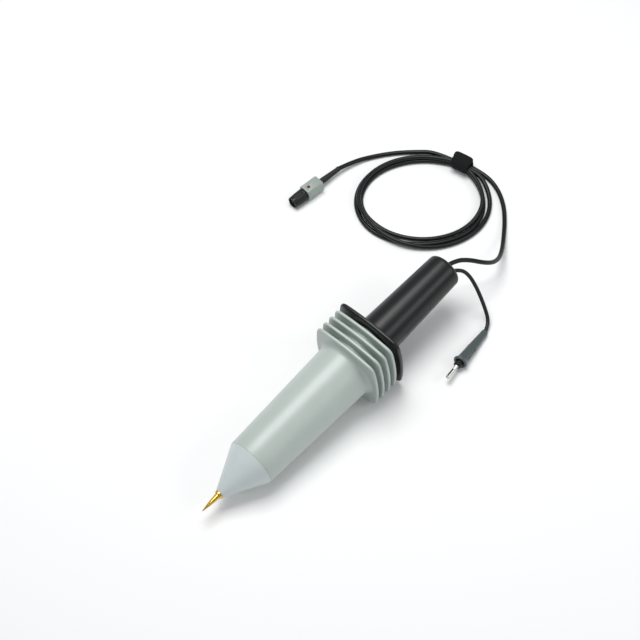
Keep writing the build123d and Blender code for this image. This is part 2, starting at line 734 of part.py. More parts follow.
# ================================================================ the screened lead
# It drops from the handle to the bench, lies in a coil of three turns tied with a strap, and runs on to
# the plug end. The free stretches are tubes, and the coil is one solid of its outer shape.
coil_angle = math.radians(coil_heading)
coil_plane = Plane(origin=(*coil_centre, 0), x_dir=(math.cos(coil_angle), math.sin(coil_angle), 0),
                   z_dir=(0, 0, 1))
bundle = 2 * coax_diameter
tie_angle = math.radians(coil_tie_angle)
tie_long = (coil_width - bundle) / 2
tie_short = (coil_depth - bundle) / 2
tie_middle = spot(coil_plane, tie_long * math.cos(tie_angle), tie_short * math.sin(tie_angle), 0)
tie_direction = (spot(coil_plane, -tie_long * math.sin(tie_angle), tie_short * math.cos(tie_angle), 0)
                 - coil_plane.origin).normalized()
tie_outward = tie_direction.cross(Vector(0, 0, 1))
strap_centre = tie_middle + tie_outward * tie_shift + Vector(0, 0, strap_base + bundle / 2)
strap_across = turning_frame(tuple(strap_centre - tie_direction * strap_width / 2),
                             tuple(tie_direction))[0]

lead_end = spot(strap_across, -coax_diameter / 2, -coax_diameter / 2, 0)
coax_lead_points = [spot(probe_across, coax_exit_side, 0, exit_at),
                    (191.0, -0.9, 54.3), (203.5, -8.8, 49.6), (214.8, -16.8, 40.8), (227.5, -20.8, 30.6),
                    (242.0, -18.4, 20.6), (258.6, -9.4, 11.6), (275.8, 2.6, 5.2), (292.5, 15.0, 2.4),
                    (306.8, 28.2, 2.4), (317.2, 42.6, 2.4), (323.5, 57.5, 2.4), (325.0, 72.8, 2.9),
                    lead_end]
coax_lead_route = cord_route(coax_lead_points, coax_diameter, "coax_lead")
with BuildPart() as coax_lead:
    sweep(cord_section(coax_lead_route, coax_diameter), path=coax_lead_route)
pieces["coax_lead"] = coax_lead

with BuildPart() as coax_coil:
    with BuildSketch(coil_plane):
        Ellipse(coil_width / 2, coil_depth / 2)
        with Locations(coil_hole_shift):
            Ellipse(coil_hole_width / 2, coil_hole_depth / 2, mode=Mode.SUBTRACT)
    extrude(amount=bundle)
    with BuildSketch(strap_across):
        Rectangle(4 * bundle, 4 * bundle)
    extrude(amount=strap_width, mode=Mode.SUBTRACT)
    with BuildSketch(strap_across):
        Rectangle(bundle, bundle)
    extrude(amount=strap_width)
pieces["coax_coil"] = coax_coil

# The hook-and-loop strap wound round the four passes of the lead, with its loose tab.
strap_outer_width = bundle + 2 * strap_side
strap_outer_height = strap_base + bundle + strap_top
with BuildPart() as coil_strap:
    with BuildSketch(strap_across):
        with Locations((0, (strap_top - strap_base) / 2)):
            RectangleRounded(strap_outer_width, strap_outer_height, strap_corner)
        with Locations((-(strap_outer_width + strap_tab[0]) / 2 + strap_corner, bundle / 2)):
            RectangleRounded(strap_tab[0], strap_tab[1], strap_tab[1] / 2 - 0.1)
        Rectangle(bundle, bundle, mode=Mode.SUBTRACT)
    extrude(amount=strap_width)
pieces["coil_strap"] = coil_strap

# ================================================================ plug end: boot, box and connector
bnc_angle = math.radians(bnc_heading)
bnc_across, bnc_along, bnc_axis = turning_frame((*bnc_mouth, box_width / 2),
                                                (math.cos(bnc_angle), math.sin(bnc_angle), 0))
box_at = collar_length + box_gap
box_end_at = box_at + box_length
boot_end_at = box_end_at + boot_length
box_half = box_width / 2
nut_at = box_at + box_wall
nut_end_at = nut_at + nut_thickness
boot_neck_radius = coax_diameter / 2 + 0.6
boot_flange_at = box_end_at - box_wall - boot_flange

coax_tail_points = [spot(strap_across, -coax_diameter / 2, coax_diameter / 2, strap_width),
                    (311.0, 128.1, 5.6), (297.9, 146.3, 2.4), (281.0, 162.4, 2.4), (262.0, 175.7, 2.4),
                    (242.1, 185.2, 4.6), spot(bnc_across, 0, 0, boot_end_at)]
coax_tail_route = cord_route(coax_tail_points, coax_diameter, "coax_tail")
with BuildPart() as coax_tail:
    sweep(cord_section(coax_tail_route, coax_diameter), path=coax_tail_route)
pieces["coax_tail"] = coax_tail

# The rubber boot moulded on the lead, held in the box's rear wall by its flange.
with BuildPart() as coax_boot:
    with BuildSketch(bnc_along):
        with BuildLine():
            Polyline((boot_end_at, coax_diameter / 2), (boot_flange_at, coax_diameter / 2),
                     (boot_flange_at, boot_neck_radius + 1.0),
                     (boot_flange_at + boot_flange, boot_neck_radius + 1.0),
                     (boot_flange_at + boot_flange, boot_neck_radius), (box_end_at, boot_neck_radius),
                     (box_end_at, boot_rear_radius))
            ThreePointArc((box_end_at, boot_rear_radius),
                          ((box_end_at + boot_end_at) / 2, (boot_rear_radius + boot_tip_radius) / 2 - 0.15),
                          (boot_end_at, boot_tip_radius))
            Line((boot_end_at, boot_tip_radius), (boot_end_at, coax_diameter / 2))
        make_face()
    revolve(axis=bnc_axis)
pieces["coax_boot"] = coax_boot

# The stretch of lead inside the boot, stripped where it meets the board.
box_strip_at = boot_flange_at - 3.5
with BuildPart() as coax_plug_end:
    with BuildSketch(bnc_across.offset(box_strip_at)):
        Circle(coax_diameter / 2)
    extrude(amount=boot_end_at - box_strip_at)
pieces["coax_plug_end"] = coax_plug_end

# The grey box, two shells that meet at half height and are screwed together from below.
trimmer_plane = Plane(origin=spot(bnc_across, 0, box_half, trimmer_at), x_dir=tuple(bnc_axis.direction),
                      z_dir=(0, 0, 1))
box_floor = Plane(origin=spot(bnc_across, 0, -box_half, box_end_at - box_screw_inset),
                  x_dir=tuple(bnc_axis.direction), z_dir=(0, 0, 1))
box_post_side = box_half - box_wall - box_post_radius + 0.1


def box_shell(keep):
    """One half of the box, cut from the whole at half height."""
    with BuildPart() as shell:
        for start, end, half, mode in ((box_at, box_end_at, box_half, Mode.ADD),
                                       (nut_at, box_end_at - box_wall, box_half - box_wall,
                                        Mode.SUBTRACT)):
            with BuildSketch(bnc_across.offset(start)) as section:
                Rectangle(2 * half, 2 * half)
                chamfer(section.vertices(), box_bevel * half / box_half)
            extrude(amount=end - start, mode=mode)
        with BuildSketch(box_floor.offset(box_wall / 2)):
            with Locations((0, -box_post_side), (0, box_post_side)):
                Circle(box_post_radius)
        extrude(amount=box_width - box_wall)
        with BuildSketch(bnc_across.offset(box_at)):
            Circle(bnc_neck_radius)
        extrude(amount=box_wall, mode=Mode.SUBTRACT)
        with BuildSketch(bnc_across.offset(box_end_at - box_wall)):
            Circle(boot_neck_radius)
        extrude(amount=box_wall, mode=Mode.SUBTRACT)
        with BuildSketch(box_floor):
            with Locations((0, -box_post_side), (0, box_post_side)):
                Circle(box_screw_head_radius + 0.1)
        extrude(amount=box_screw_head + 0.2, mode=Mode.SUBTRACT)
        with BuildSketch(box_floor):
            with Locations((0, -box_post_side), (0, box_post_side)):
                Circle(box_screw_radius)
        extrude(amount=box_screw_head + box_screw_length + 0.6, mode=Mode.SUBTRACT)
        with BuildSketch(trimmer_plane):
            Circle(trimmer_radius + trimmer_clearance)
        extrude(amount=-2 * box_wall, mode=Mode.SUBTRACT)
        split(bisect_by=Plane(origin=(0, 0, box_half), z_dir=(0, 0, 1)), keep=keep)
    return shell


pieces["box_lower"] = box_shell(Keep.BOTTOM)
pieces["box_upper"] = box_shell(Keep.TOP)

with BuildPart() as box_screws:
    with BuildSketch(box_floor.offset(0.2)):
        with Locations((0, -box_post_side), (0, box_post_side)):
            Circle(box_screw_head_radius)
    extrude(amount=box_screw_head)
    with BuildSketch(box_floor.offset(0.2)):
        with Locations((0, -box_post_side), (0, box_post_side)):
            Circle(box_screw_radius)
    extrude(amount=box_screw_head + box_screw_length)
pieces["box_screws"] = box_screws

# The small board in the box, its trimmer capacitor and the red rotor that a screwdriver turns.
box_board_top = -bnc_pin_shank_radius - 0.1
box_board_at = nut_end_at + 0.3
box_board_end_at = box_end_at - box_screw_inset - box_post_radius - 0.4
trimmer_base_top = box_board_top + trimmer_base_height
with BuildPart() as box_board:
    with BuildSketch(bnc_across.offset(box_board_at)):
        with Locations((0, box_board_top - box_board_thickness / 2)):
            Rectangle(box_board_width, box_board_thickness)
    extrude(amount=box_board_end_at - box_board_at)
pieces["box_board"] = box_board

trimmer_seat = trimmer_plane.offset(box_board_top - box_half)
with BuildPart() as trimmer_base:
    with BuildSketch(trimmer_seat):
        RectangleRounded(2 * trimmer_base_radius, 2 * trimmer_base_radius + 1.0, 0.5)
        Circle(spindle_radius + trimmer_clearance, mode=Mode.SUBTRACT)
    extrude(amount=trimmer_base_height)
pieces["trimmer_base"] = trimmer_base

rotor_foot = trimmer_plane.offset(trimmer_base_top + 0.3 - box_half)
rotor_height = box_half - 0.3 - trimmer_base_top - 0.3
with BuildPart() as trimmer_rotor:
    with BuildSketch(rotor_foot):
        Circle(trimmer_radius)
    extrude(amount=rotor_height)
    fillet(trimmer_rotor.faces().sort_by(Axis.Z)[-1].edges(), 0.3)
    with BuildSketch(rotor_foot):
        Circle(spindle_radius)
    extrude(amount=-(trimmer_base_height - 0.6))
    with BuildSketch(rotor_foot.offset(rotor_height)):
        Rectangle(2 * trimmer_radius, trimmer_slot)
    extrude(amount=-0.9, mode=Mode.SUBTRACT)
pieces["trimmer_rotor"] = trimmer_rotor

# The connector: a metal body screwed into the box, a split sleeve, an insulator and the centre pin.
bnc_neck_end_at = nut_end_at + 0.2
sleeve_inner = bnc_sleeve_radius - bnc_sleeve_wall
body_bore = sleeve_inner - 0.3
seat_end_at = bnc_flange_at + bnc_flange_length + 0.2
with BuildPart() as bnc_body:
    revolve(outline(bnc_along, (bnc_flange_at, bnc_sleeve_root_radius), (bnc_flange_at, bnc_flange_radius),
                    (bnc_flange_at + bnc_flange_length, bnc_flange_radius),
                    (bnc_flange_at + bnc_flange_length, bnc_neck_radius),
                    (bnc_neck_end_at, bnc_neck_radius), (bnc_neck_end_at, body_bore),
                    (seat_end_at, body_bore), (seat_end_at, bnc_sleeve_root_radius)), axis=bnc_axis)
pieces["bnc_body"] = bnc_body

with BuildPart() as bnc_nut:
    with BuildSketch(bnc_across.offset(nut_at)):
        RegularPolygon(nut_radius, 6)
        Circle(bnc_neck_radius, mode=Mode.SUBTRACT)
    extrude(amount=nut_thickness)
pieces["bnc_nut"] = bnc_nut

with BuildPart() as bnc_sleeve:
    revolve(outline(bnc_along, (bnc_sleeve_at, sleeve_inner), (bnc_sleeve_at, bnc_sleeve_radius),
                    (bnc_flange_at, bnc_sleeve_radius), (bnc_flange_at, bnc_sleeve_root_radius),
                    (seat_end_at, bnc_sleeve_root_radius), (seat_end_at, sleeve_inner)), axis=bnc_axis)
    with BuildSketch(bnc_across.offset(bnc_sleeve_at)):
        Rectangle(3 * bnc_sleeve_radius, bnc_slit)
        Rectangle(bnc_slit, 3 * bnc_sleeve_radius)
    extrude(amount=bnc_slit_length, mode=Mode.SUBTRACT)
pieces["bnc_sleeve"] = bnc_sleeve

with BuildPart() as bnc_insulator:
    revolve(outline(bnc_along, (bnc_insulator_at, bnc_pin_shank_radius), (bnc_insulator_at, sleeve_inner),
                    (seat_end_at, sleeve_inner), (seat_end_at, body_bore), (bnc_neck_end_at, body_bore),
                    (bnc_neck_end_at, bnc_pin_shank_radius)), axis=bnc_axis)
pieces["bnc_insulator"] = bnc_insulator

with BuildPart() as bnc_pin:
    revolve(outline(bnc_along, (bnc_pin_at, 0), (bnc_pin_at, bnc_pin_radius / 2),
                    (bnc_pin_at + bnc_pin_radius / 2, bnc_pin_radius),
                    (bnc_insulator_at, bnc_pin_radius), (bnc_insulator_at, bnc_pin_shank_radius),
                    (bnc_neck_end_at, bnc_pin_shank_radius), (bnc_neck_end_at, 0)), axis=bnc_axis)
pieces["bnc_pin"] = bnc_pin

# Spring washers that pull the collar back when it is locked.
collar_lip_at = collar_length - collar_lip
washer_room = collar_lip_at - bnc_flange_at - bnc_flange_length
with BuildPart() as bnc_spring_washers:
    for washer in range(washer_count):
        start = bnc_flange_at + bnc_flange_length + washer_room * washer / washer_count
        revolve(band(bnc_along, start, start + washer_thickness, bnc_neck_radius,
                     bnc_flange_radius - 0.2), axis=bnc_axis)
pieces["bnc_spring_washers"] = bnc_spring_washers

# The black bayonet collar, which turns on the body, with two curved slots inside its mouth.
slot_top = collar_bore_radius + bayonet_slot_depth
slot_end_at = collar_bore_length - 1.4


def bayonet_slot(start_angle):
    """The solid that one bayonet slot removes: a way in from the mouth, then part of a turn."""
    with BuildPart() as slot:
        with BuildSketch(bnc_across):
            with Locations((slot_top / 2, 0)):
                Rectangle(slot_top, bayonet_slot_width)
        extrude(amount=slot_end_at)
        revolve(band(Plane(origin=bnc_along.origin, x_dir=bnc_axis.direction, z_dir=bnc_across.y_dir),
                     slot_end_at - bayonet_slot_width, slot_end_at, 0, slot_top),
                axis=bnc_axis, revolution_arc=bayonet_turn)
    return slot.part.rotate(bnc_axis, start_angle)


with BuildPart() as bnc_collar:
    with BuildSketch(bnc_along):
        with BuildLine():
            Polyline((0.5, collar_front_radius), (0, collar_front_radius - 0.5),
                     (0, collar_bore_radius + 0.4), (0.4, collar_bore_radius),
                     (collar_bore_length, collar_bore_radius), (collar_bore_length, collar_chamber_radius),
                     (collar_lip_at, collar_chamber_radius), (collar_lip_at, collar_lip_radius),
                     (collar_length, collar_lip_radius), (collar_length, collar_rear_radius - 0.6),
                     (collar_length - 0.6, collar_rear_radius))
            ThreePointArc((collar_length - 0.6, collar_rear_radius),
                          (collar_length * 0.55, collar_rear_radius - 0.1), (0.5, collar_front_radius))
        make_face()
    revolve(axis=bnc_axis)
    add(bayonet_slot(30), mode=Mode.SUBTRACT)
    add(bayonet_slot(210), mode=Mode.SUBTRACT)
pieces["bnc_collar"] = bnc_collar

# ================================================================ earth lead and its plug
# The plug lies on the rim of its finger collar and on the end of its grip, so its pin points up a little.
collar_rim_at = grip_length + plug_collar_length - plug_collar_rim
plug_pitch = math.atan2(plug_collar_radius - grip_rear_radius, collar_rim_at)
plug_angle = math.radians(plug_heading)
plug_across, plug_along, plug_axis = turning_frame(
    (*plug_grip_end, grip_rear_radius * math.cos(plug_pitch)),
    (math.cos(plug_angle) * math.cos(plug_pitch), math.sin(plug_angle) * math.cos(plug_pitch),
     math.sin(plug_pitch)))
plug_collar_end_at = grip_length + plug_collar_length
insulator_end_at = plug_collar_end_at + insulator_reach
pin_end_at = insulator_end_at + plug_pin_reach
pin_root_at = insulator_end_at - plug_pin_root

earth_lead_points = [spot(probe_across, earth_exit_side, 0, exit_at),
                     (186.5, -11.3, 53.0), (190.9, -19.1, 46.1), (191.3, -28.7, 35.3),
                     (190.0, -38.5, 23.0), (187.9, -46.4, 13.2), (184.8, -53.1, 7.0),
                     (179.1, -57.5, 3.8), spot(plug_across, 0, 0, 0)]
earth_lead_route = cord_route(earth_lead_points, earth_diameter, "earth_lead")
with BuildPart() as earth_lead:
    sweep(cord_section(earth_lead_route, earth_diameter), path=earth_lead_route)
pieces["earth_lead"] = earth_lead

# The moulded grip with its finger collar, hollow at the front, and a recess on each side.
cup_floor_at = plug_collar_end_at - 3.0
recess_length, recess_width, recess_depth = grip_recess
recess_middle_at = grip_length - grip_recess_gap - recess_length / 2
grip_slope = (grip_front_radius - grip_rear_radius) / grip_length
recess_radius = grip_rear_radius + recess_middle_at * grip_slope - recess_depth
recess_planes = [Plane(origin=spot(plug_across, side * recess_radius, 0, recess_middle_at),
                       x_dir=plug_axis.direction, z_dir=plug_across.x_dir * side) for side in (-1, 1)]
with BuildPart() as earth_grip:
    with BuildSketch(plug_along):
        with BuildLine():
            flare = (grip_length + plug_collar_length - plug_collar_rim, plug_collar_radius - 0.4)
            rim = (plug_collar_end_at - plug_collar_rim / 2, plug_collar_radius)
            rim_end = (plug_collar_end_at, plug_collar_radius - 0.6)
            Polyline((0, 0), (0, grip_rear_radius - 0.3), (0.3, grip_rear_radius),
                     (grip_length, grip_front_radius), flare)
            ThreePointArc(flare, rim, rim_end)
            Polyline(rim_end, (plug_collar_end_at, insulator_radius + 0.6),
                     (cup_floor_at, insulator_radius + 0.6), (cup_floor_at, plug_pin_root_radius),
                     (pin_root_at, plug_pin_root_radius), (pin_root_at, 0), (0, 0))
        make_face()
    revolve(axis=plug_axis)
    for plane in recess_planes:
        with BuildSketch(plane):
            RectangleRounded(recess_length, recess_width, 0.8)
        extrude(amount=3 * recess_depth, mode=Mode.SUBTRACT)
pieces["earth_grip"] = earth_grip

with BuildPart() as grip_inlays:
    for plane in recess_planes:
        with BuildSketch(plane):
            RectangleRounded(recess_length - 0.2, recess_width - 0.2, 0.7)
        extrude(amount=recess_depth * 0.6)
pieces["grip_inlays"] = grip_inlays

# The black insulator round the root of the pin.
with BuildPart() as earth_insulator:
    with BuildSketch(plug_along):
        with BuildLine():
            Polyline((cup_floor_at, plug_pin_root_radius), (cup_floor_at, insulator_radius),
                     (insulator_end_at - 1.2, insulator_radius - 0.5))
            TangentArc((insulator_end_at - 1.2, insulator_radius - 0.5),
                       (insulator_end_at, insulator_radius - 1.9),
                       tangent=(insulator_end_at - 1.2 - cup_floor_at, -0.5))
            Polyline((insulator_end_at, insulator_radius - 1.9), (insulator_end_at, plug_pin_root_radius),
                     (cup_floor_at, plug_pin_root_radius))
        make_face()
    revolve(axis=plug_axis)
pieces["earth_insulator"] = earth_insulator

# The 4 mm pin, slit along its middle, and the flat spring in the slit that grips the socket.
slit_end_at = pin_end_at - 3.6
slit_at = slit_end_at - plug_pin_slot_length
with BuildPart() as earth_pin:
    revolve(outline(plug_along, (pin_root_at, 0), (pin_root_at, plug_pin_root_radius),
                    (insulator_end_at, plug_pin_root_radius), (insulator_end_at, plug_pin_radius),
                    (pin_end_at - 0.7, plug_pin_radius), (pin_end_at, plug_pin_radius - 0.7),
                    (pin_end_at, 0)), axis=plug_axis)
    with BuildSketch(plug_across.offset(slit_at)):
        Rectangle(plug_pin_slot, 3 * plug_pin_radius)
    extrude(amount=plug_pin_slot_length, mode=Mode.SUBTRACT)
pieces["earth_pin"] = earth_pin

with BuildPart() as pin_spring:
    with BuildSketch(Plane(origin=spot(plug_across, -plug_spring_thickness / 2, 0, slit_at),
                           x_dir=plug_axis.direction, z_dir=plug_across.x_dir)):
        with BuildLine():
            ThreePointArc((0, -0.4), (plug_pin_slot_length / 2, plug_pin_radius - 0.1),
                          (plug_pin_slot_length, -0.4))
            ThreePointArc((plug_pin_slot_length, -0.4),
                          (plug_pin_slot_length / 2, plug_pin_radius - 0.7), (0, -0.4))
        make_face()
    extrude(amount=plug_spring_thickness)
pieces["pin_spring"] = pin_spring

# ================================================================ write every piece to its own file
os.makedirs("parts", exist_ok=True)
for name, piece in pieces.items():
    piece.part.label = name
    export_step(piece.part, f"parts/{name}.step")
coax_length, tail_length, earth_length = [
    sum(edge.length for edge in route.edges())
    for route in (coax_lead_route, coax_tail_route, earth_lead_route)]
tube_volume = coax_length * math.pi * coax_diameter**2 / 4
print(f"coax_lead: volume {coax_lead.part.volume:.0f}, section times length {tube_volume:.0f}")
print(f"leads: {coax_length:.0f} + {tail_length:.0f} mm screened, {earth_length:.0f} mm earth")
print(f"probe tilt {math.degrees(probe_tilt):.2f} degrees, {len(pieces)} pieces")
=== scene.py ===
import json
import math

import bmesh
import bpy
import numpy as np
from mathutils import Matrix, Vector


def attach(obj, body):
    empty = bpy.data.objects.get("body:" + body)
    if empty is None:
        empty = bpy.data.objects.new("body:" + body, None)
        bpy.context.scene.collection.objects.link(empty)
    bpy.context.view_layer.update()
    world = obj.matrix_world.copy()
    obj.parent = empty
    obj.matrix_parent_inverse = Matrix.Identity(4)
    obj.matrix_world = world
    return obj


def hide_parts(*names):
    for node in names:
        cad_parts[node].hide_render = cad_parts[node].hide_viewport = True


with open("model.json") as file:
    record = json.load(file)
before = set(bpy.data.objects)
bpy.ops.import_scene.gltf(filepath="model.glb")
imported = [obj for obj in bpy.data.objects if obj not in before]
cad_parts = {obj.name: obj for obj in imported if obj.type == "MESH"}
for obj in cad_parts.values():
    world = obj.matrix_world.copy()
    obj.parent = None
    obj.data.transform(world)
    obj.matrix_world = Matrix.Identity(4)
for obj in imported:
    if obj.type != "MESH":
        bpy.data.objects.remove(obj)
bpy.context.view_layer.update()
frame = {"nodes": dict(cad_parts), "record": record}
mounts = {mount["name"]: mount for mount in frame["record"]["mounts"]}
mm = 0.001

# ==================================================================== contact tip
# A needle turned from brass bar with a thin collar behind it, polished and plated with gold. Its threaded
# stud screws into a brass socket in the cone, so the whole tip can be changed for a hook or a clip.


class Lie:
    """How a turned assembly lies: where its front is, which way it runs, and its level and upper sides."""

    def __init__(self, origin, forward):
        self.origin = np.array(origin, float)
        self.forward = np.array(forward, float) / np.linalg.norm(forward)
        level = np.cross((0, 0, 1), self.forward)
        self.side = level / np.linalg.norm(level)
        self.up = np.cross(self.forward, self.side)

    def place(self, along, side, up):
        """Points in the row frame: the origin, plus along times forward, plus side and up times theirs."""
        along, side, up = np.broadcast_arrays(along, side, up)
        return (self.origin + along[..., None] * self.forward + side[..., None] * self.side
                + up[..., None] * self.up)

    def reach(self, node):
        """A CAD node's first and last distance along the axis, and the middle of its two sides."""
        mesh = frame["nodes"][node].data
        spots = np.empty(len(mesh.vertices) * 3)
        mesh.vertices.foreach_get("co", spots)
        spots = spots.reshape(-1, 3) - self.origin
        along, side, up = spots @ self.forward, spots @ self.side, spots @ self.up
        return along.min(), along.max(), (side.min() + side.max()) / 2, (up.min() + up.max()) / 2


def skin(name, grid, closed_rows=True):
    """A closed mesh from a grid of points: rows follow an outline and columns go once round the axis.

    Each four neighbours make one face. Points that fall together, as at a pole, are merged.
    """
    rows, columns = grid.shape[:2]
    row = np.arange(rows if closed_rows else rows - 1)[:, None]
    column = np.arange(columns)[None, :]
    after_row, after_column = (row + 1) % rows, (column + 1) % columns
    faces = np.stack([row * columns + column, row * columns + after_column,
                      after_row * columns + after_column, after_row * columns + column], -1).reshape(-1, 4)
    mesh = bpy.data.meshes.new(name)
    mesh.from_pydata(grid.reshape(-1, 3).tolist(), [], faces.tolist())
    return tidy(name, mesh)


def tidy(name, mesh, merge=2e-7, crease=34):
    """Merges doubled points, drops faces with no area and edges with no face, points faces outwards and
    shades them smooth except where two faces meet at more than the crease angle, in degrees."""
    work = bmesh.new()
    work.from_mesh(mesh)
    bmesh.ops.remove_doubles(work, verts=work.verts, dist=merge)
    bmesh.ops.dissolve_degenerate(work, edges=work.edges, dist=merge)
    bmesh.ops.delete(work, geom=[edge for edge in work.edges if not edge.link_faces], context="EDGES")
    bmesh.ops.delete(work, geom=[spot for spot in work.verts if not spot.link_faces], context="VERTS")
    bmesh.ops.recalc_face_normals(work, faces=work.faces)
    work.to_mesh(mesh)
    work.free()
    mesh.shade_smooth()
    mesh.set_sharp_from_angle(angle=math.radians(crease))
    piece = bpy.data.objects.new(name, mesh)
    bpy.context.scene.collection.objects.link(piece)
    return piece


def rounded(corners, steps=5):
    """A closed outline of (along, out, radius) corners, where each radius above 0 becomes an arc.

    The arc touches both edges of its corner: it starts and ends at radius / tan(half the corner's angle)
    from the corner, and steps points lie on it, evenly turned.
    """
    corners = np.array(corners, float)
    outline = []
    for before, (along, out, radius), after in zip(np.roll(corners, 1, 0), corners, np.roll(corners, -1, 0)):
        corner = np.array((along, out))
        if radius <= 0:
            outline.append(corner)
            continue
        back = (before[:2] - corner) / np.linalg.norm(before[:2] - corner)
        on = (after[:2] - corner) / np.linalg.norm(after[:2] - corner)
        half = math.acos(np.clip(back @ on, -1, 1)) / 2
        middle = corner + (back + on) / np.linalg.norm(back + on) * radius / math.sin(half)
        start, end = corner + back * radius / math.tan(half), corner + on * radius / math.tan(half)
        for share in np.linspace(0, 1, steps):
            swing = 2 * (math.pi / 2 - half)
            out_of = (math.sin((1 - share) * swing) * (start - middle)
                      + math.sin(share * swing) * (end - middle)) / math.sin(swing)
            outline.append(middle + out_of)
    return np.array(outline)


def lathe(name, lie, outline, around=96, side=0.0, up=0.0):
    """A closed surface of revolution: each outline point (along, out) goes once round the axis.

    Point = place(along, side + out * sin(turn), up + out * cos(turn)), for evenly spaced turns.
    """
    turn = np.arange(around) * 2 * math.pi / around
    along, out = outline[:, :1], np.maximum(outline[:, 1:], 0)
    grid = lie.place(along, side + out * np.sin(turn), up + out * np.cos(turn))
    return skin(name, grid)


def linear(colour):
    """A hex sRGB colour as linear red, green, blue and full alpha.

    Each channel c becomes c / 12.92 up to 0.04045, and ((c + 0.055) / 1.055) to the power 2.4 above it.
    """
    channels = [int(colour[place:place + 2], 16) / 255 for place in (1, 3, 5)]
    return [c / 12.92 if c <= 0.04045 else ((c + 0.055) / 1.055) ** 2.4 for c in channels] + [1.0]


def add(material, kind, settings=None, **links):
    """Adds one node to a material. Settings are for its properties and sockets, and links join its sockets,
    whose names are written with _ for a space, or as n and their number, to other nodes' outputs."""
    made = material.node_tree.nodes.new("ShaderNode" + kind)
    for name, value in (settings or {}).items():
        if hasattr(made, name):
            setattr(made, name, value)
        else:
            made.inputs[name].default_value = value
    for name, output in links.items():
        numbered = name[0] == "n" and name[1:].isdigit()
        socket = made.inputs[int(name[1:]) if numbered else name.replace("_", " ")]
        material.node_tree.links.new(output, socket)
    return made


def material_named(name):
    """A new material with an empty node tree."""
    made = bpy.data.materials.new(name)
    made.use_nodes = True
    made.node_tree.nodes.clear()
    return made


def shade(material, surface):
    """Ends a material: its surface goes to the output. Returns the material."""
    add(material, "OutputMaterial", Surface=surface.outputs[0])
    return material


def grained(name, colour, tone, grain_mm, bump_mm, roughness, unevenness, metallic=0.0, **settings):
    """A surface with two sizes of unevenness: a broad one that shifts its tone a little, as resin and
    handling do, and a fine grain of the given size that roughens its gloss and its height."""
    made = material_named(name)
    spot = add(made, "TexCoord").outputs["Object"]
    broad = add(made, "TexNoise", {"Scale": 1 / (28 * mm), "Detail": 3.0, "Roughness": 0.6}, Vector=spot)
    fine = add(made, "TexNoise", {"Scale": 1 / (grain_mm * mm), "Detail": 2.0, "Roughness": 0.55},
               Vector=spot)
    dark, light = linear(colour), linear(tone)
    ramp = add(made, "Mix", {"data_type": "RGBA"}, n0=broad.outputs["Fac"])
    ramp.inputs[6].default_value, ramp.inputs[7].default_value = dark, light
    mixed = add(made, "Math", {"operation": "MULTIPLY_ADD"}, n0=fine.outputs["Fac"])
    mixed.inputs[1].default_value, mixed.inputs[2].default_value = unevenness, roughness - unevenness / 2
    height = add(made, "Bump", {"Strength": 1.0, "Distance": bump_mm * mm}, Height=fine.outputs["Fac"])
    return shade(made, add(made, "BsdfPrincipled", {"Metallic": metallic, **settings},
                           Base_Color=ramp.outputs[2], Roughness=mixed.outputs[0],
                           Normal=height.outputs[0]))


def turned_metal(name, colour, tone, ring_mm, lie, roughness):
    """Metal cut on a lathe: fine rings across the axis, as deep as a few hundredths of a millimetre.

    The rings are noise that is stretched out to nothing but its place along the axis.
    """
    made = material_named(name)
    spot = add(made, "TexCoord").outputs["Object"]
    along = add(made, "VectorMath", {"operation": "DOT_PRODUCT"}, n0=spot)
    along.inputs[1].default_value = lie.forward
    rings = add(made, "TexNoise", {"noise_dimensions": "1D", "Scale": 1 / (ring_mm * mm), "Detail": 2.0},
                W=along.outputs["Value"])
    stain = add(made, "TexNoise", {"Scale": 1 / (6 * mm), "Detail": 3.0}, Vector=spot)
    ramp = add(made, "Mix", {"data_type": "RGBA"}, n0=stain.outputs["Fac"])
    ramp.inputs[6].default_value, ramp.inputs[7].default_value = linear(colour), linear(tone)
    gloss = add(made, "Math", {"operation": "MULTIPLY_ADD"}, n0=stain.outputs["Fac"])
    gloss.inputs[1].default_value, gloss.inputs[2].default_value = 0.08, roughness - 0.04
    height = add(made, "Bump", {"Strength": 0.35, "Distance": 0.02 * mm}, Height=rings.outputs["Fac"])
    return shade(made, add(made, "BsdfPrincipled", {"Metallic": 1.0}, Base_Color=ramp.outputs[2],
                           Roughness=gloss.outputs[0], Normal=height.outputs[0]))


def dress(piece, material, body, slot, *nodes):
    """Gives a new piece its material and its body, and hides the CAD nodes it stands for. Its slot is not
    used.
    """
    piece.data.materials.clear()
    piece.data.materials.append(material)
    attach(piece, body)
    if nodes:
        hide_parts(*nodes)


def coat(material, *nodes):
    """Gives CAD nodes whose own shape stays a material."""
    for node in nodes:
        frame["nodes"][node].data.materials.clear()
        frame["nodes"][node].data.materials.append(material)


probe = Lie(mounts["contact_point"]["pos_m"], -np.array(mounts["contact_point"]["axis"]))
cone_at = probe.reach("nose_cone")[0]
stud_end = probe.reach("probe_tip")[1]
collar_at = cone_at - 2.4 * mm
collar_out = 4.7 * mm
needle_out = 3.1 * mm
needle_swell = 0.35 * mm
point_out = 0.4 * mm
stud_out = 2.0 * mm

# Plated gold is a smooth mirror with a yellow cast, its polish broken only by faint turning rings.
plated_gold = turned_metal("gold_plated_brass", "#E8C66A", "#D9AE4C", 0.35, probe, 0.16)


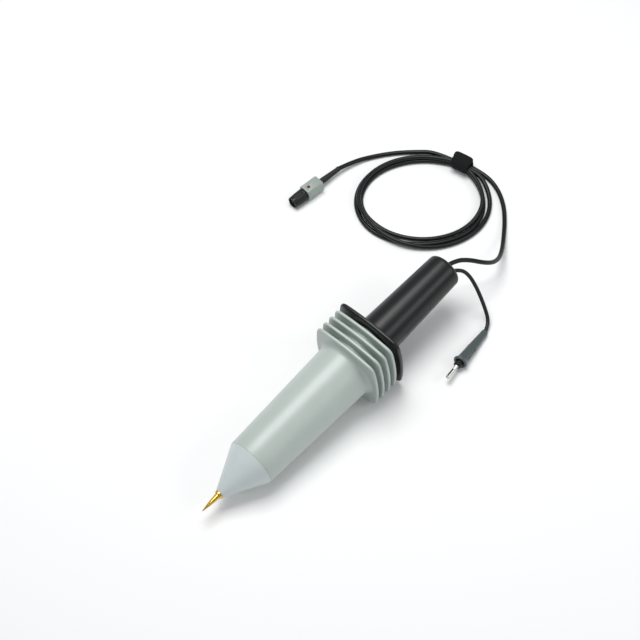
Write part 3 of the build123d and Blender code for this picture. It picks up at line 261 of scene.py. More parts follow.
def needle_outline():
    """The needle's outline: a small ball at the point, then a side that swells a little between point and
    collar, out = straight line + swell * sin(pi * share), with small rounds on the collar and the stud."""
    ball = np.linspace(0, math.pi / 2 - 0.12, 7)
    point = np.stack([point_out * (1 - np.cos(ball)), point_out * np.sin(ball)], -1)
    share = np.linspace(0, 1, 26)[1:]
    start = point[-1]
    along = start[0] + (collar_at - 0.5 * mm - start[0]) * share
    out = start[1] + (needle_out - start[1]) * share + needle_swell * np.sin(math.pi * share)
    side = np.stack([along, out], -1)
    back = rounded([(collar_at, needle_out - 0.2 * mm, 0), (collar_at, collar_out, 0.35 * mm),
                    (cone_at, collar_out, 0.2 * mm), (cone_at, stud_out, 0),
                    (stud_end, stud_out, 0.3 * mm), (stud_end, 0, 0)])
    return np.vstack([point, side, back])


tip = lathe("contact_tip", probe, needle_outline(), around=72)
dress(tip, plated_gold, "tip", "tip_brass", "probe_tip")

# ==================================================================== nose cone
# A cone moulded in pale grey plastic round the brass socket. Its spigot plugs into the barrel with a rubber
# ring, and the joint shows as a hairline where the two small edge rounds meet.
barrel_at = probe.reach("barrel")[0]
shoulder_out = 26.7 * mm
spigot_out = 22.9 * mm
spigot_end = probe.reach("nose_cone")[1]
joint_round = 0.35 * mm
cone_wall = 3 * mm
stud_hole = 3.2 * mm
socket_hole = 5.5 * mm
socket_wall_out = 7.5 * mm
socket_front = cone_at + 6 * mm
socket_back = cone_at + 16 * mm

# Moulded ABS: a satin surface with a fine even grain, here a shade bluer and lighter than the barrel's.
cone_plastic = grained("moulded_abs_pale_grey", "#C2CCCC", "#CED7D7", 0.45, 0.012, 0.34, 0.08,
                       **{"IOR": 1.54})

cone = lathe("nose_cone_moulding", probe, rounded([
    (cone_at, stud_hole, 0), (cone_at, collar_out + 0.1 * mm, 0.4 * mm),
    (barrel_at, shoulder_out, joint_round), (barrel_at, spigot_out, 0),
    (spigot_end, spigot_out - 0.1 * mm, 0.3 * mm), (spigot_end, spigot_out - cone_wall, 0),
    (barrel_at - 4 * mm, spigot_out - cone_wall, 0), (socket_back, socket_wall_out, 0),
    (socket_back, socket_hole, 0), (socket_front, socket_hole, 0), (socket_front, stud_hole, 0)]),
    around=192)
dress(cone, cone_plastic, "root", "grey_cone_plastic", "nose_cone")

# ==================================================================== barrel and fins
# One moulding in grey plastic, widening towards four thin bowed square fins that lengthen the way a spark
# would have to creep. The front fin grows out of the barrel in a soft curve, and every rim is rounded.
barrel_end = probe.reach("barrel")[1]
barrel_out = 31.2 * mm
fin_thickness = 3.2 * mm
fin_pitch = 8.8 * mm
fin_count = 4
fin_flat = 40.5 * mm
fin_rim = 1.3 * mm
fin_bow = 175 * mm
fin_corner = 8.2 * mm
fins_at = barrel_end - 3.85 * mm - fin_thickness - (fin_count - 1) * fin_pitch
fin_root = 0.9 * mm
flare = 5.0 * mm


def bowed_square(turn, half_flat):
    """Distance from the axis to the rim of a square with bowed sides and round corners, at each turn.

    A side is an arc of radius fin_bow and a corner an arc of radius fin_corner that touches both sides. A ray
    at angle a from the line to an arc's centre, c away, meets it at c cos(a) + sqrt(r^2 - c^2 sin^2(a)).
    """
    back = half_flat - fin_bow
    root_half = math.sqrt(0.5)
    turn = np.mod(turn + math.pi / 4, math.pi / 2) - math.pi / 4
    reach = (fin_bow - fin_corner) ** 2 - back ** 2 / 2
    corner = back * root_half + math.sqrt(reach)
    corner_x = corner * root_half
    meeting = math.atan2(corner_x * fin_bow, back * (fin_bow - fin_corner) + (corner_x - back) * fin_bow)
    side = back * np.cos(turn) + np.sqrt(fin_bow ** 2 - (back * np.sin(turn)) ** 2)
    aside = math.pi / 4 - np.abs(turn)
    bend = corner * np.cos(aside) + np.sqrt(np.maximum(fin_corner ** 2 - (corner * np.sin(aside)) ** 2, 0))
    return np.where(np.abs(turn) < meeting, side, bend)


def plate_rows(start, thickness, core, rim, root_front, root_back):
    """One fin as rows of (along, core, share, inset): up its front face, round its rim, down its back.

    A row's distance from the axis is core + share * (square - rim - core) + inset, so share runs from 0 at
    the root to 1 at the rim, and inset adds the round of the rim and, near the root, nothing.
    """
    rows = []
    climb = np.linspace(0, 1, 7)
    arc = np.linspace(0, math.pi / 2, 6)
    for swing in arc:
        rows.append((start - root_front * (1 - math.sin(swing)), core + root_front * (1 - math.cos(swing)),
                     0, 0))
    for share in climb[1:]:
        rows.append((start, core + root_front * (1 - share), share, 0))
    for swing in arc[1:]:
        rows.append((start + rim * (1 - math.cos(swing)), core, 1, rim * math.sin(swing)))
    for swing in arc[::-1]:
        rows.append((start + thickness - rim * (1 - math.cos(swing)), core, 1, rim * math.sin(swing)))
    for share in climb[::-1][1:]:
        rows.append((start + thickness, core + root_back * (1 - share), share, 0))
    for swing in arc[::-1][1:]:
        rows.append((start + thickness + root_back * (1 - math.sin(swing)),
                     core + root_back * (1 - math.cos(swing)), 0, 0))
    return rows


def plated_body(name, rows, half_flat, rim, around=320):
    """A round body with square plates on it, from rows of (along, core, share, inset) in a closed loop.

    Distance from the axis = core + share * (bowed square - rim - core) + inset, for every turn.
    """
    rows = np.array(rows, float)
    turn = np.arange(around) * 2 * math.pi / around
    along, core, share, inset = (rows[:, place:place + 1] for place in range(4))
    out = core + share * (bowed_square(turn, half_flat) - rim - core) + inset
    return skin(name, probe.place(along, out * np.sin(turn), out * np.cos(turn)))


# Moulded ABS: satin, with the fine even grain of a spark-eroded mould and a slightly greenish grey.
barrel_plastic = grained("moulded_abs_grey", "#AFBAB4", "#BBC5C0", 0.45, 0.012, 0.34, 0.08, **{"IOR": 1.54})

slope = (barrel_out - shoulder_out) / (fins_at - barrel_at)
front_core = shoulder_out + slope * (fins_at - flare - barrel_at)
barrel_rows = [(barrel_at, spigot_out, 0, 0), (barrel_at, shoulder_out - joint_round, 0, 0)]
for swing in np.linspace(0, math.pi / 2, 5)[1:]:
    barrel_rows.append((barrel_at + joint_round * (1 - math.cos(swing)),
                        shoulder_out - joint_round * (1 - math.sin(swing)), 0, 0))
for share in np.linspace(0.1, 1, 10)[:-1]:
    place = barrel_at + share * (fins_at - flare - barrel_at)
    barrel_rows.append((place, shoulder_out + slope * (place - barrel_at), 0, 0))
for number in range(fin_count):
    start = fins_at + number * fin_pitch
    front = flare if number == 0 else fin_root
    rows = plate_rows(start, fin_thickness, barrel_out if number else front_core, fin_rim, front, fin_root)
    if number == 0:
        half = len(rows) // 2
        rows = [(along, core if place < half else core - front_core + barrel_out, share, inset)
                for place, (along, core, share, inset) in enumerate(rows)]
    barrel_rows += rows
edge_break = 0.4 * mm
bore = 22.0 * mm
bore_front = probe.reach("bulkhead")[0] + 6 * mm
chamber_front = spigot_end + 1 * mm
chamber_rear_out = 27.5 * mm
chamber_front_out = 23.2 * mm
barrel_rows += [(barrel_end - edge_break, barrel_out, 0, 0), (barrel_end, barrel_out - edge_break, 0, 0),
                (barrel_end, bore, 0, 0), (bore_front, bore, 0, 0), (bore_front, chamber_rear_out, 0, 0),
                (chamber_front, chamber_front_out, 0, 0), (chamber_front, spigot_out, 0, 0)]
barrel = plated_body("finned_barrel", barrel_rows, fin_flat, fin_rim)
dress(barrel, barrel_plastic, "root", "grey_barrel_plastic", "barrel")

# ==================================================================== the divider, inside
# The working parts, closed in by the mouldings: a contact spring, a long ceramic resistor with pressed brass
# caps in a plastic tube, silicone poured round it, and a small board with film capacitors in its screen.
# Brass off the lathe: a warm yellow gloss crossed by fine rings.
turned_brass = turned_metal("turned_brass", "#C9A867", "#B8955A", 0.4, probe, 0.3)
# Drawn wire: grey metal with a slightly dulled gloss.
spring_wire = grained("drawn_spring_steel", "#A9ABAC", "#8F9294", 0.6, 0.01, 0.32, 0.1, metallic=1.0)
# Unglazed ceramic: chalky white, with next to no gloss.
white_ceramic = grained("unglazed_ceramic", "#E4E0D4", "#D8D2C3", 0.3, 0.02, 0.7, 0.1)
# Extruded polypropylene: ivory, with a waxy sheen.
ivory_tube = grained("extruded_polypropylene", "#DCD9CC", "#E6E3D8", 0.5, 0.008, 0.35, 0.08)
# Rolled sheet: pale metal with a soft, cloudy gloss.
rolled_aluminium = grained("rolled_aluminium", "#C4C7C9", "#B2B6B9", 0.5, 0.01, 0.38, 0.12, metallic=1.0)
# Poured silicone: dull grey rubber with an uneven skin.
potting = grained("poured_silicone", "#8B8D88", "#7C7F7A", 0.8, 0.03, 0.5, 0.1)
# Laminate under its lacquer: smooth dark green, half glossy.
board_resin = grained("glass_and_resin_laminate", "#1C4A30", "#235A3A", 0.25, 0.01, 0.42, 0.1)
# Dipped resin: dark red, with the most gloss of the inner parts that are not metal.
dipped_film = grained("dipped_film_capacitor", "#8A2A20", "#9A3328", 0.4, 0.01, 0.28, 0.08)
# Zinc plate: cool grey metal whose gloss is clouded.
plated_steel = grained("zinc_plated_steel", "#B4B6B4", "#9C9F9E", 0.35, 0.01, 0.34, 0.12, metallic=1.0)
# Moulded rubber: near black and matt, with only a faint sheen.
moulded_rubber = grained("moulded_black_rubber", "#101213", "#17191A", 0.3, 0.02, 0.6, 0.12)
coat(turned_brass, "tip_socket", "resistor_cap_front", "resistor_cap_rear")
coat(spring_wire, "contact_spring")
coat(white_ceramic, "hv_resistor", "lower_resistor")
coat(ivory_tube, "resistor_tube")
coat(rolled_aluminium, "screen_sleeve", "screen_tube")
coat(potting, "silicone_fill")
coat(board_resin, "divider_board")
coat(dipped_film, "divider_capacitors")
coat(plated_steel, "board_screws", "clamp_screws")
coat(moulded_rubber, "nose_seal", "guard_gasket")
coat(barrel_plastic, "bulkhead")

# ==================================================================== handle
# The handle and its hand guard are one moulding in black plastic, with a fine leather-like mould grain. It
# narrows towards its rounded end, and four blackened screws hold its guard to the barrel.
guard_at, handle_end = probe.reach("handle_shell")[:2]
guard_thickness = 4.0 * mm
guard_rim = 1.6 * mm
guard_flat = 41.5 * mm
handle_front = 22.35 * mm
handle_back = 18.7 * mm
handle_wall = 3.0 * mm
end_round = 4.5 * mm
cap_out = 13.6 * mm
handle_root = 1.6 * mm

# Black ABS: the grain of the mould scatters the gloss, so a lamp shows as a soft grey band.
black_plastic = grained("moulded_black_abs", "#0B0D0E", "#111415", 0.5, 0.02, 0.34, 0.1,
                         **{"IOR": 1.54, "Specular IOR Level": 0.35})

handle_at = guard_at + guard_thickness
taper = (handle_back - handle_front) / (handle_end - handle_at)
handle_rows = [(guard_at, handle_front - handle_wall, 0, 0)]
for share in np.linspace(0, 1, 8):
    handle_rows.append((guard_at, handle_front + 0.1 * mm, share, 0))
for swing in np.linspace(0, math.pi / 2, 6)[1:]:
    handle_rows.append((guard_at + guard_rim * (1 - math.cos(swing)), handle_front, 1,
                        guard_rim * math.sin(swing)))
for swing in np.linspace(math.pi / 2, 0, 6):
    handle_rows.append((handle_at - guard_rim * (1 - math.cos(swing)), handle_front, 1,
                        guard_rim * math.sin(swing)))
for share in np.linspace(1, 0, 8)[1:-1]:
    handle_rows.append((handle_at, handle_front + handle_root, share, 0))
for swing in np.linspace(math.pi / 2, 0, 6):
    handle_rows.append((handle_at + handle_root * (1 - math.sin(swing)),
                        handle_front + handle_root * (1 - math.cos(swing)), 0, 0))
for share in np.linspace(0, 1, 14)[1:-1]:
    place = handle_at + handle_root + share * (handle_end - end_round - handle_at - handle_root)
    handle_rows.append((place, handle_front + taper * (place - handle_at), 0, 0))
round_out = handle_front + taper * (handle_end - end_round - handle_at)
for swing in np.linspace(0, math.pi / 2, 12):
    handle_rows.append((handle_end - end_round * (1 - math.sin(swing)),
                        round_out - end_round * (1 - math.cos(swing)), 0, 0))
seat_floor = handle_end - 3 * mm
end_wall = handle_end - 6 * mm
end_bore = 12.2 * mm
seat_round = 0.25 * mm
handle_rows += [(handle_end, cap_out + seat_round, 0, 0), (handle_end - seat_round, cap_out, 0, 0),
                (seat_floor, cap_out, 0, 0), (seat_floor, end_bore, 0, 0),
                (end_wall, end_bore, 0, 0), (end_wall, handle_back - handle_wall, 0, 0)]
handle = plated_body("handle_and_guard", handle_rows, guard_flat, guard_rim)
dress(handle, black_plastic, "root", "black_handle_plastic", "handle_shell")


def softened(name, node, width, crease=34, segments=2):
    """A copy of a CAD node with its loose triangles merged, flat faces joined and sharp edges rounded."""
    mesh = frame["nodes"][node].data.copy()
    mesh.name = name
    work = bmesh.new()
    work.from_mesh(mesh)
    bmesh.ops.remove_doubles(work, verts=work.verts, dist=1e-6)
    bmesh.ops.dissolve_limit(work, angle_limit=math.radians(0.6), verts=work.verts, edges=work.edges)
    work.to_mesh(mesh)
    work.free()
    mesh.shade_smooth()
    piece = bpy.data.objects.new(name, mesh)
    bpy.context.scene.collection.objects.link(piece)
    bevel = piece.modifiers.new("edge_round", "BEVEL")
    bevel.width = width
    bevel.segments = segments
    bevel.limit_method = "ANGLE"
    bevel.angle_limit = math.radians(crease)
    bevel.harden_normals = True
    return piece


# Blackened steel: dark metal whose gloss the oxide breaks up.
black_steel = grained("blackened_steel", "#2A2C2D", "#1E2021", 0.3, 0.01, 0.38, 0.12, metallic=0.9)
screws = softened("guard_screw_set", "guard_screws", 0.15 * mm)
dress(screws, black_steel, "root", "black_screw", "guard_screws")

# ==================================================================== handle's end
# A flat black cap let into the end of the handle, with two rubber grommets through it for the leads. Inside,
# a bar and two screws clamp the leads to the cap's tongue.
end_cap = softened("handle_end_cap", "rear_cap", 0.2 * mm)
dress(end_cap, black_plastic, "root", "black_handle_plastic", "rear_cap")
coat(black_plastic, "lead_clamp")


def grommet(name, node, hole_out):
    """A rubber grommet: a neck through the cap and a rounded lip outside it, turned about its own hole."""
    start, end, side, up = probe.reach(node)
    lip = rounded([(start, hole_out, 0), (start, hole_out + 1 * mm, 0), (handle_end, hole_out + 1 * mm, 0),
                   (handle_end, hole_out + 2 * mm, 0.1 * mm), (end, hole_out + 1.9 * mm, 0.9 * mm),
                   (end, hole_out, 0.25 * mm)])
    piece = lathe(name, probe, lip, around=48, side=side, up=up)
    dress(piece, moulded_rubber, "root", "black_rubber", node)


coax_diameter = 4.8 * mm
earth_diameter = 4.0 * mm
grommet("screened_lead_grommet", "coax_grommet", coax_diameter / 2)
grommet("earth_lead_grommet", "earth_grommet", earth_diameter / 2)

# ==================================================================== screened lead
# A thin screened cable with a soft black jacket. It drops from the handle to the bench, is wound into three
# turns that fan out a little where nothing ties them, and runs on to the plug end.
bnc = Lie(mounts["connector_sleeve"]["pos_m"], -np.array(mounts["connector_sleeve"]["axis"]))
bnc.origin = bnc.place(bnc.reach("bnc_collar")[0], 0, 0)
boot_end = bnc.reach("coax_boot")[1]
exit_along, exit_side = probe.reach("coax_grommet")[1:3]
coil_middle = np.array((252.8, 95.7)) * mm
coil_heading = math.radians(-47.1)
coil_half = np.array((147.2, 123.3)) / 2 * mm
tie_turn = 53

lead_points = [(191.0, -0.9, 54.3), (203.5, -8.8, 49.6), (214.8, -16.8, 40.8), (227.5, -20.8, 30.6),
               (242.0, -18.4, 20.6), (258.6, -9.4, 11.6), (275.8, 2.6, 5.2), (292.5, 15.0, 2.4),
               (306.8, 28.2, 2.4), (317.2, 42.6, 2.4), (323.5, 57.5, 2.4), (325.0, 72.8, 2.9)]
tail_points = [(311.0, 128.1, 5.6), (297.9, 146.3, 2.4), (281.0, 162.4, 2.4), (262.0, 175.7, 2.4),
               (242.1, 185.2, 4.6)]

# Each turn of the coil, from one pass under the strap to the next: degrees round the coil, how far inside the
# coil's outer edge the lead runs, and its height, both in millimetres.
turns = [
    [(53, -1.0, 4.4), (75, 1.4, 2.8), (100, 2.4, 2.4), (215, 2.4, 2.4), (240, 4.6, 2.4), (270, 7.2, 2.4),
     (330, 7.4, 2.4), (355, 9.6, 2.4), (385, 9.0, 2.6), (400, 6.0, 3.8)],
    [(53, 3.8, 4.4), (75, 6.2, 2.8), (100, 7.2, 2.4), (185, 7.4, 2.4), (210, 11.0, 2.4), (245, 13.0, 2.4),
     (285, 13.6, 2.4), (325, 12.8, 2.8), (350, 10.4, 6.6), (385, 9.4, 7.4), (400, 6.4, 8.6)],
    [(53, 3.8, 9.2), (75, 5.0, 7.6), (100, 4.8, 7.2), (180, 4.8, 7.2), (205, 7.6, 7.0), (225, 5.6, 7.2),
     (245, 3.4, 7.2), (262, 2.2, 4.9), (280, 2.2, 2.4), (350, 2.4, 2.4), (370, 2.4, 3.4), (390, 1.6, 7.6),
     (402, 0.2, 8.8)]]
turn_steps = 20


def coil_points(turn):
    """One turn's control points, evenly spaced round an ellipse a given distance inside the coil's edge.

    Point = middle + (half length - inside) * cos(a) along the coil's heading + (half width - inside) * sin(a)
    across it. Both parts are scaled up a little, because the spline runs inside its control points.
    """
    degrees, inside, height = np.array(turn, float).T
    angles = tie_turn + np.arange(turn_steps) * 360 / turn_steps
    inside = np.interp(angles, np.append(degrees, tie_turn + 360), np.append(inside, inside[-1])) * mm
    height = np.interp(angles, np.append(degrees, tie_turn + 360), np.append(height, height[-1])) * mm
    stand_out = 8 / (6 + 2 * math.cos(2 * math.pi / turn_steps))
    along = (coil_half[0] - inside) * np.cos(np.radians(angles)) * stand_out
    across = (coil_half[1] - inside) * np.sin(np.radians(angles)) * stand_out
    return np.stack([coil_middle[0] + along * math.cos(coil_heading) - across * math.sin(coil_heading),
                     coil_middle[1] + along * math.sin(coil_heading) + across * math.cos(coil_heading),
                     height], -1)


def lead_curve(name, points, diameter):
    """A lead as one smooth NURBS spline through the air and along the bench, with a round section."""
    curve = bpy.data.curves.new(name, "CURVE")
    curve.dimensions = "3D"
    curve.bevel_depth = diameter / 2
    curve.bevel_resolution = 6
    curve.resolution_u = 8
    curve.use_fill_caps = True
    spline = curve.splines.new("NURBS")
    spline.points.add(len(points) - 1)
    spline.points.foreach_set("co", np.column_stack([points, np.ones(len(points))]).ravel())
    spline.order_u = 3
    spline.use_endpoint_u = True
    piece = bpy.data.objects.new(name, curve)
    bpy.context.scene.collection.objects.link(piece)
    return piece


# Soft PVC: a smooth extruded jacket with a dull gloss, faintly uneven along its length.
lead_jacket = grained("extruded_black_pvc", "#0A0C0D", "#101314", 0.5, 0.01, 0.36, 0.1,
                      **{"IOR": 1.53, "Specular IOR Level": 0.3})

coax_start = probe.place(exit_along, exit_side, 0)
boot_tip = bnc.place(boot_end, 0, 0)
coax_points = np.vstack([coax_start, np.array(lead_points) * mm, *[coil_points(turn) for turn in turns],
                         np.array(tail_points) * mm, boot_tip])
coax = lead_curve("screened_lead", coax_points, coax_diameter)
dress(coax, lead_jacket, "root", "lead_rubber", "coax_lead", "coax_coil", "coax_tail")
coat(lead_jacket, "coax_inner_end", "coax_plug_end")

# ==================================================================== coil strap
# Hook-and-loop tape, woven in black nylon, wound more than twice round the four passes of the lead, with its
# loose end standing out as a short tab.
strap_width = 20 * mm
strap_lift = 2 * mm
tie_shift = 3.4 * mm
tape = 1.0 * mm
tape_pitch = 1.06 * mm
tape_turns = 2.62
tab_length = 8 * mm
edge_droop = 1.0 * mm
wind_start = math.radians(285)
wind_lift = 0.5
tape_seat = 0.55 * tape
tab_bend = (-0.10, -0.42)
slow_sway = 1.1 * mm
quick_sway = 0.3 * mm
tie_angle = math.radians(tie_turn)
tie_half = coil_half - coax_diameter
tie_spot = tie_half * (math.cos(tie_angle), math.sin(tie_angle))
tie_way = np.array((-tie_half[0] * math.sin(tie_angle), tie_half[1] * math.cos(tie_angle)))
coil_turned = np.array([[math.cos(coil_heading), -math.sin(coil_heading)],
                        [math.sin(coil_heading), math.cos(coil_heading)]])
tie_way = np.append(coil_turned @ (tie_way / np.linalg.norm(tie_way)), 0)
tie_middle = np.append(coil_middle + coil_turned @ tie_spot, strap_lift + coax_diameter)
tie_middle += np.cross(tie_way, (0, 0, 1)) * tie_shift
strap = Lie(tie_middle - tie_way * strap_width / 2, tie_way)


def wound_tape(name):
    """A tape wound in a spiral round a square bundle with round corners, closed at both ends.

    The path is out = (half the bundle + seat + pitch * turns so far) / (cos^4 a + sin^4 a)^(1/4), lifted by
    half of what it has grown and never below the bench, and then a curved tab. The section is a rounded
    rectangle whose two edges droop inwards by droop * (share of the half width)^6. Carried along the path, it
    sways sideways in two sine waves, a slow one that grows towards the tab and a quick one.
    """
    steps = 260
    angle = wind_start - np.linspace(0, tape_turns * 2 * math.pi, steps)
    grown = tape_pitch * np.linspace(0, tape_turns, steps)
    out = (coax_diameter + tape_seat + grown) / (np.cos(angle) ** 4 + np.sin(angle) ** 4) ** (1 / 4)
    path = np.stack([out * np.cos(angle), out * np.sin(angle)], -1)
    path[:, 1] = np.maximum(path[:, 1] + wind_lift * grown, -strap_lift - coax_diameter + tape_seat)
    leave = path[-1] - path[-2]
    leave /= np.linalg.norm(leave)
    away = np.linspace(0, 1, 14)[1:, None]
    path = np.vstack([path, path[-1] + tab_length * away * (leave + away * tab_bend)])
    ahead = np.gradient(path, axis=0)
    normal = np.stack([-ahead[:, 1], ahead[:, 0]], -1) / np.linalg.norm(ahead, axis=1)[:, None]
    swing = np.linspace(0, 2 * math.pi, 28, endpoint=False)
    wide = strap_width / 2 * np.sign(np.cos(swing)) * np.abs(np.cos(swing)) ** 0.25
    thick = (tape / 2 * np.sign(np.sin(swing)) * np.abs(np.sin(swing)) ** 0.35
             - edge_droop * np.abs(wide / strap_width * 2) ** 6)
    share = np.linspace(0, 1, len(path))[:, None]
    sway = slow_sway * np.sin(share * 23) * share + quick_sway * np.sin(share * 77 + 1)
    grid = strap.place(strap_width / 2 + wide + sway, path[:, :1] + normal[:, :1] * thick,
                       path[:, 1:] + normal[:, 1:] * thick)
    ends = strap.place(strap_width / 2 + sway[[0, -1]] + 0 * wide, path[[0, -1], :1] + 0 * thick,
                       path[[0, -1], 1:] + 0 * thick)
    return skin(name, np.concatenate([ends[:1], grid, ends[1:]]), closed_rows=False)


# Woven nylon with a brushed face: matt black, its looped pile drawn as a coarse noise so that it shows.
woven_nylon = grained("brushed_nylon_tape", "#0A0B0C", "#15181A", 0.7, 0.30, 0.82, 0.2,
                      **{"Specular IOR Level": 0.2, "Sheen Weight": 0.06, "Sheen Roughness": 0.5})
strap_tape = wound_tape("hook_and_loop_strap")
dress(strap_tape, woven_nylon, "root", "black_strap", "coil_strap")

# ==================================================================== boot
# A soft rubber boot moulded on the lead, which tapers from the box to a thin lip, so that the lead doesn't
# kink where it enters the box.
boot_start = bnc.reach("coax_boot")[0]
box_end = bnc.reach("box_upper")[1]
boot_back = 3.55 * mm
boot_front = 2.85 * mm
boot_neck = 3.0 * mm
flange_out = boot_neck + 1 * mm
flange_end = boot_start + 1.2 * mm
boot_face = box_end + 0.02 * mm
boot_side_end = boot_front - 0.15 * mm


def boot_outline():
    """The boot's outline: a flange inside the box, a neck through its wall, and outside it a side that runs
    from the wide end to the thin one as back + (front - back) * (3 s^2 - 2 s^3), with a bead at its end."""
    share = np.linspace(0, 1, 22)
    eased = 3 * share ** 2 - 2 * share ** 3
    along = box_end + 0.6 * mm + (boot_end - 2.6 * mm - box_end) * share
    side = np.stack([along, boot_back + (boot_side_end - boot_back) * eased], -1)
    root = rounded([(boot_start, coax_diameter / 2, 0), (boot_start, flange_out, 0),
                    (flange_end, flange_out, 0), (flange_end, boot_neck, 0),
                    (boot_face, boot_neck, 0), (boot_face, boot_back - 0.5 * mm, 0)])
    bead = rounded([(boot_end - 2 * mm, boot_side_end, 0), (boot_end - 1.8 * mm, boot_front, 0.1 * mm),
                    (boot_end, boot_front - 0.05 * mm, 0.35 * mm), (boot_end, coax_diameter / 2, 0)])
    return np.vstack([root, side, bead])


boot = lathe("lead_boot", bnc, boot_outline(), around=56)
dress(boot, moulded_rubber, "root", "black_rubber", "coax_boot")

# ==================================================================== compensation box
# Two shells moulded in grey plastic, screwed together from below, which hold a small board. Through a hole in
# the lid a screwdriver turns the red rotor of a trimmer capacitor.
# Moulded ABS again: satin, in a darker and greener grey than the barrel's.
box_plastic = grained("moulded_abs_grey_green", "#8F9B93", "#9AA59E", 0.4, 0.014, 0.38, 0.1, **{"IOR": 1.54})
# Moulded nylon: a deep red that stands out in the grey lid.
red_plastic = grained("moulded_red_nylon", "#6A1420", "#7B1B2A", 0.3, 0.01, 0.36, 0.1, **{"IOR": 1.53})
# Fired ceramic: light brown and half matt.
fired_ceramic = grained("fired_brown_ceramic", "#B9A98B", "#A99878", 0.4, 0.01, 0.5, 0.1)
box_base = softened("box_base_shell", "box_lower", 0.25 * mm)
box_lid = softened("box_lid_shell", "box_upper", 0.25 * mm)
dress(box_base, box_plastic, "root", "grey_box_plastic", "box_lower")
dress(box_lid, box_plastic, "root", "grey_box_plastic", "box_upper")
rotor = softened("trimmer_rotor_red", "trimmer_rotor", 0.1 * mm)
dress(rotor, red_plastic, "trimmer", "red_rotor", "trimmer_rotor")
coat(fired_ceramic, "trimmer_base")
coat(board_resin, "box_board")
coat(plated_steel, "box_screws")

# ==================================================================== bayonet connector
# A nickel-plated brass body with a split sleeve and a gold-plated centre contact in a white insulator. A
# black plastic collar turns on it, with shallow grips cut along it and two curved slots inside its mouth.
collar_length = bnc.reach("bnc_collar")[1]
collar_front = 6.4 * mm
collar_back = 7.25 * mm
collar_bore = 4.95 * mm
collar_bore_end = 9.5 * mm
collar_chamber = 6.0 * mm
collar_lip = 5.2 * mm
slot_depth = 0.75 * mm
slot_width = 2.3 * mm
slot_end = collar_bore_end - 1.4 * mm
slot_turn = math.radians(80)
slot_starts = (math.radians(30), math.radians(210))
grip_count = 24
grip_depth = 0.22 * mm
grip_sharpness = 0.7
flank_start = 3.2 * mm
lip_back = collar_length - 1 * mm


def collar_grid():
    """The collar's surface: its outline turned round the axis, with two things added to the distance out.

    Outside, depth * (1 - |sin(grip count * turn / 2)|)^sharpness is taken away, fading at both ends. In the
    bore the slots' depth is added: each runs in from the mouth, and then a part of the way round.
    """
    outer = rounded([(0, collar_bore + 0.4 * mm, 0), (0, collar_front, 0.5 * mm),
                     (2.2 * mm, collar_front + 0.14 * mm, 0), (3.0 * mm, collar_front + 0.2 * mm, 0)])
    share = np.linspace(0, 1, 34)
    flank = np.stack([flank_start + (collar_length - 4.6 * mm) * share, collar_front + 0.22 * mm
                      + (collar_back - collar_front - 0.25 * mm) * np.sin(share * math.pi / 2)], -1)
    back = rounded([(collar_length - 1.0 * mm, collar_back, 0),
                    (collar_length, collar_back - 0.1 * mm, 0.6 * mm),
                    (collar_length, collar_lip, 0), (lip_back, collar_lip, 0),
                    (lip_back, collar_chamber, 0), (collar_bore_end, collar_chamber, 0),
                    (collar_bore_end, collar_bore, 0)])
    bore_along = np.linspace(collar_bore_end - 0.1 * mm, 0.4 * mm, 44)
    bore = np.stack([bore_along, np.full(len(bore_along), collar_bore)], -1)
    outline = np.vstack([outer, flank, back, bore])
    turn = np.arange(288) * 2 * math.pi / 288
    along, out = outline[:, :1], outline[:, 1:] + 0 * turn
    row = np.arange(len(outline))[:, None]
    outside = (row >= len(outer)) & (row < len(outer) + len(flank))
    fade = np.clip(np.minimum(along - flank_start, collar_length - 1.8 * mm - along) / (0.8 * mm), 0, 1)
    grips = grip_depth * (1 - np.abs(np.sin(turn * grip_count / 2))) ** grip_sharpness * fade
    inside = row >= len(outer) + len(flank) + len(back)
    slots = np.zeros_like(out, bool)
    for start in slot_starts:
        offset = np.mod(turn - start + math.pi, 2 * math.pi) - math.pi
        half_turn = slot_width / 2 / collar_bore
        way_in = (np.abs(offset) < half_turn) & (along < slot_end)
        round_it = ((offset > -half_turn) & (offset < slot_turn) & (along < slot_end)
                    & (along > slot_end - slot_width))
        slots |= way_in | round_it
    out = out - np.where(outside, grips, 0) + np.where(inside & slots, slot_depth, 0)
    return bnc.place(along, out * np.sin(turn), out * np.cos(turn))


# Moulded nylon: near black, with a satin gloss that shows the grips cut in it.
black_nylon = grained("moulded_black_nylon", "#0A0C0D", "#101314", 0.4, 0.012, 0.36, 0.1,
                      **{"IOR": 1.53, "Specular IOR Level": 0.3})
# Nickel on turned brass: a bright, slightly warm mirror with faint rings.
nickel_plate = turned_metal("nickel_plated_brass", "#D8D6CF", "#C2C0B8", 0.3, bnc, 0.2)
# Turned PTFE: white and waxy.
white_plastic = grained("turned_white_ptfe", "#ECEBE6", "#DFDED8", 0.5, 0.01, 0.4, 0.08)
collar = skin("bayonet_collar", collar_grid())
dress(collar, black_nylon, "collar", "collar_black", "bnc_collar")
coat(nickel_plate, "bnc_body", "bnc_nut", "bnc_sleeve", "bnc_spring_washers")
coat(white_plastic, "bnc_insulator")
coat(plated_gold, "bnc_pin")

# ==================================================================== earth lead
# A single stranded wire in a limp silicone jacket, which hangs from the handle to the bench and ends in the
# grip of its plug.
plug = Lie(mounts["earth_plug"]["pos_m"], mounts["earth_plug"]["axis"])
plug.origin = plug.place(plug.reach("earth_grip")[0], 0, 0)
earth_along, earth_side = probe.reach("earth_grommet")[1:3]
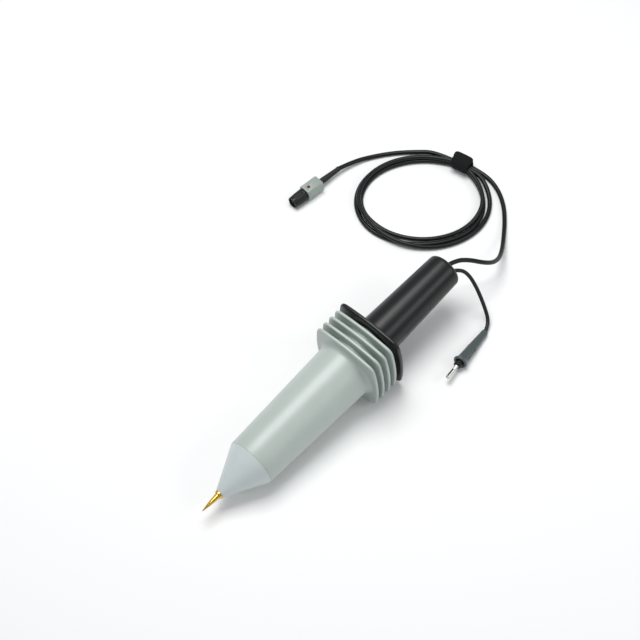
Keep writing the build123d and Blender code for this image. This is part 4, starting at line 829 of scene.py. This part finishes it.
# Silicone: near black, and duller than the screened lead's jacket.
silicone_jacket = grained("extruded_black_silicone", "#0E1112", "#15191A", 0.5, 0.01, 0.46, 0.12,
                          **{"IOR": 1.45})
earth_points = [(186.5, -11.3, 53.0), (190.9, -19.1, 46.1), (191.3, -28.7, 35.3), (190.0, -38.5, 23.0),
                (187.9, -46.4, 13.2), (184.8, -53.1, 7.0), (179.1, -57.5, 3.8)]
earth_start = probe.place(earth_along, earth_side, 0)
earth_lead = lead_curve("earth_lead_wire", np.vstack([earth_start, np.array(earth_points) * mm, plug.origin]),
                        earth_diameter)
dress(earth_lead, silicone_jacket, "root", "earth_lead_silicone", "earth_lead")
coat(silicone_jacket, "earth_inner_end")

# ==================================================================== earth plug
# A plug with a moulded dark grey grip, a finger collar and a black inlay on each side. Its pin is slit, with
# a flat spring in the slit that presses on the socket.
# Moulded polyamide: dark bluish grey and satin, lighter than the black inlays in it.
grip_plastic = grained("moulded_dark_grey_pa", "#434D4E", "#4E5859", 0.4, 0.014, 0.4, 0.1, **{"IOR": 1.53})
# Nickel plate: a little glossier than the connector's, with finer rings.
bright_pin = turned_metal("nickel_plated_pin", "#D2D1CC", "#BDBCB6", 0.25, plug, 0.18)
grip = softened("earth_plug_grip", "earth_grip", 0.2 * mm, crease=28)
dress(grip, grip_plastic, "root", "dark_grip", "earth_grip")
inlays = softened("grip_inlay_pair", "grip_inlays", 0.12 * mm)
dress(inlays, black_nylon, "root", "collar_black", "grip_inlays")
nose = softened("earth_plug_nose", "earth_insulator", 0.12 * mm, crease=40)
dress(nose, black_nylon, "root", "collar_black", "earth_insulator")
pin = softened("earth_plug_pin", "earth_pin", 0.1 * mm)
dress(pin, bright_pin, "root", "nickel_metal", "earth_pin")
coat(spring_wire, "pin_spring")

# ==================================================================== floor, light and camera
# A plain pale floor, a soft lamp high above, a weak one low at the side, and a pale sky, so that each round
# piece has one soft bright band near its top and a darker side, and black ones a second, fainter band.
floor_mesh = bpy.data.meshes.new("floor")
floor_reach = 6.0
floor_mesh.from_pydata([(-floor_reach, -floor_reach, 0), (floor_reach, -floor_reach, 0),
                        (floor_reach, floor_reach, 0), (-floor_reach, floor_reach, 0)], [], [(0, 1, 2, 3)])
floor = bpy.data.objects.new("floor", floor_mesh)
bpy.context.scene.collection.objects.link(floor)
# A matt near-white board: it shows soft shadows and hardly any reflection.
pale = material_named("pale_floor")
shade(pale, add(pale, "BsdfPrincipled", {"Base Color": linear("#FBFBFB"), "Roughness": 0.9}))
floor.data.materials.append(pale)

sky = bpy.data.worlds.new("sky")
bpy.context.scene.world = sky
sky.use_nodes = True
sky.node_tree.nodes["Background"].inputs["Color"].default_value = linear("#F6F8FA")
sky.node_tree.nodes["Background"].inputs["Strength"].default_value = 0.42


def lamp(name, azimuth, elevation, away, size, power, aim):
    """A square area lamp that many metres from a point, facing it, seen from there at those angles."""
    heading, height = math.radians(azimuth), math.radians(elevation)
    back = np.array((math.cos(height) * math.cos(heading), math.cos(height) * math.sin(heading),
                     math.sin(height)))
    data = bpy.data.lights.new(name, "AREA")
    data.size, data.energy = size, power
    made = bpy.data.objects.new(name, data)
    made.location = np.array(aim) + away * back
    made.rotation_euler = Vector(back).to_track_quat("Z", "Y").to_euler()
    bpy.context.scene.collection.objects.link(made)


aim = (0.03, 0.03, 0.02)
lamp("key_lamp", 65, 76, 1.5, 0.85, 16.5, aim)
lamp("side_lamp", -60, 36, 1.5, 0.5, 2.6, aim)

camera_data = bpy.data.cameras.new("camera")
camera_data.lens = 120
camera_data.sensor_width = 36
camera = bpy.data.objects.new("camera", camera_data)
bpy.context.scene.collection.objects.link(camera)
bpy.context.scene.camera = camera
view_heading = math.radians(47.1)
view_height = math.radians(57)
view_reach = 2.197
view_middle = np.array((0.0695, 0.0752, 0))
towards = np.array((-math.sin(view_heading) * math.cos(view_height),
                    -math.cos(view_heading) * math.cos(view_height), math.sin(view_height)))
camera.location = view_middle + view_reach * towards
camera.rotation_euler = Vector(towards).to_track_quat("Z", "Y").to_euler()
bpy.context.scene.view_settings.view_transform = "Standard"
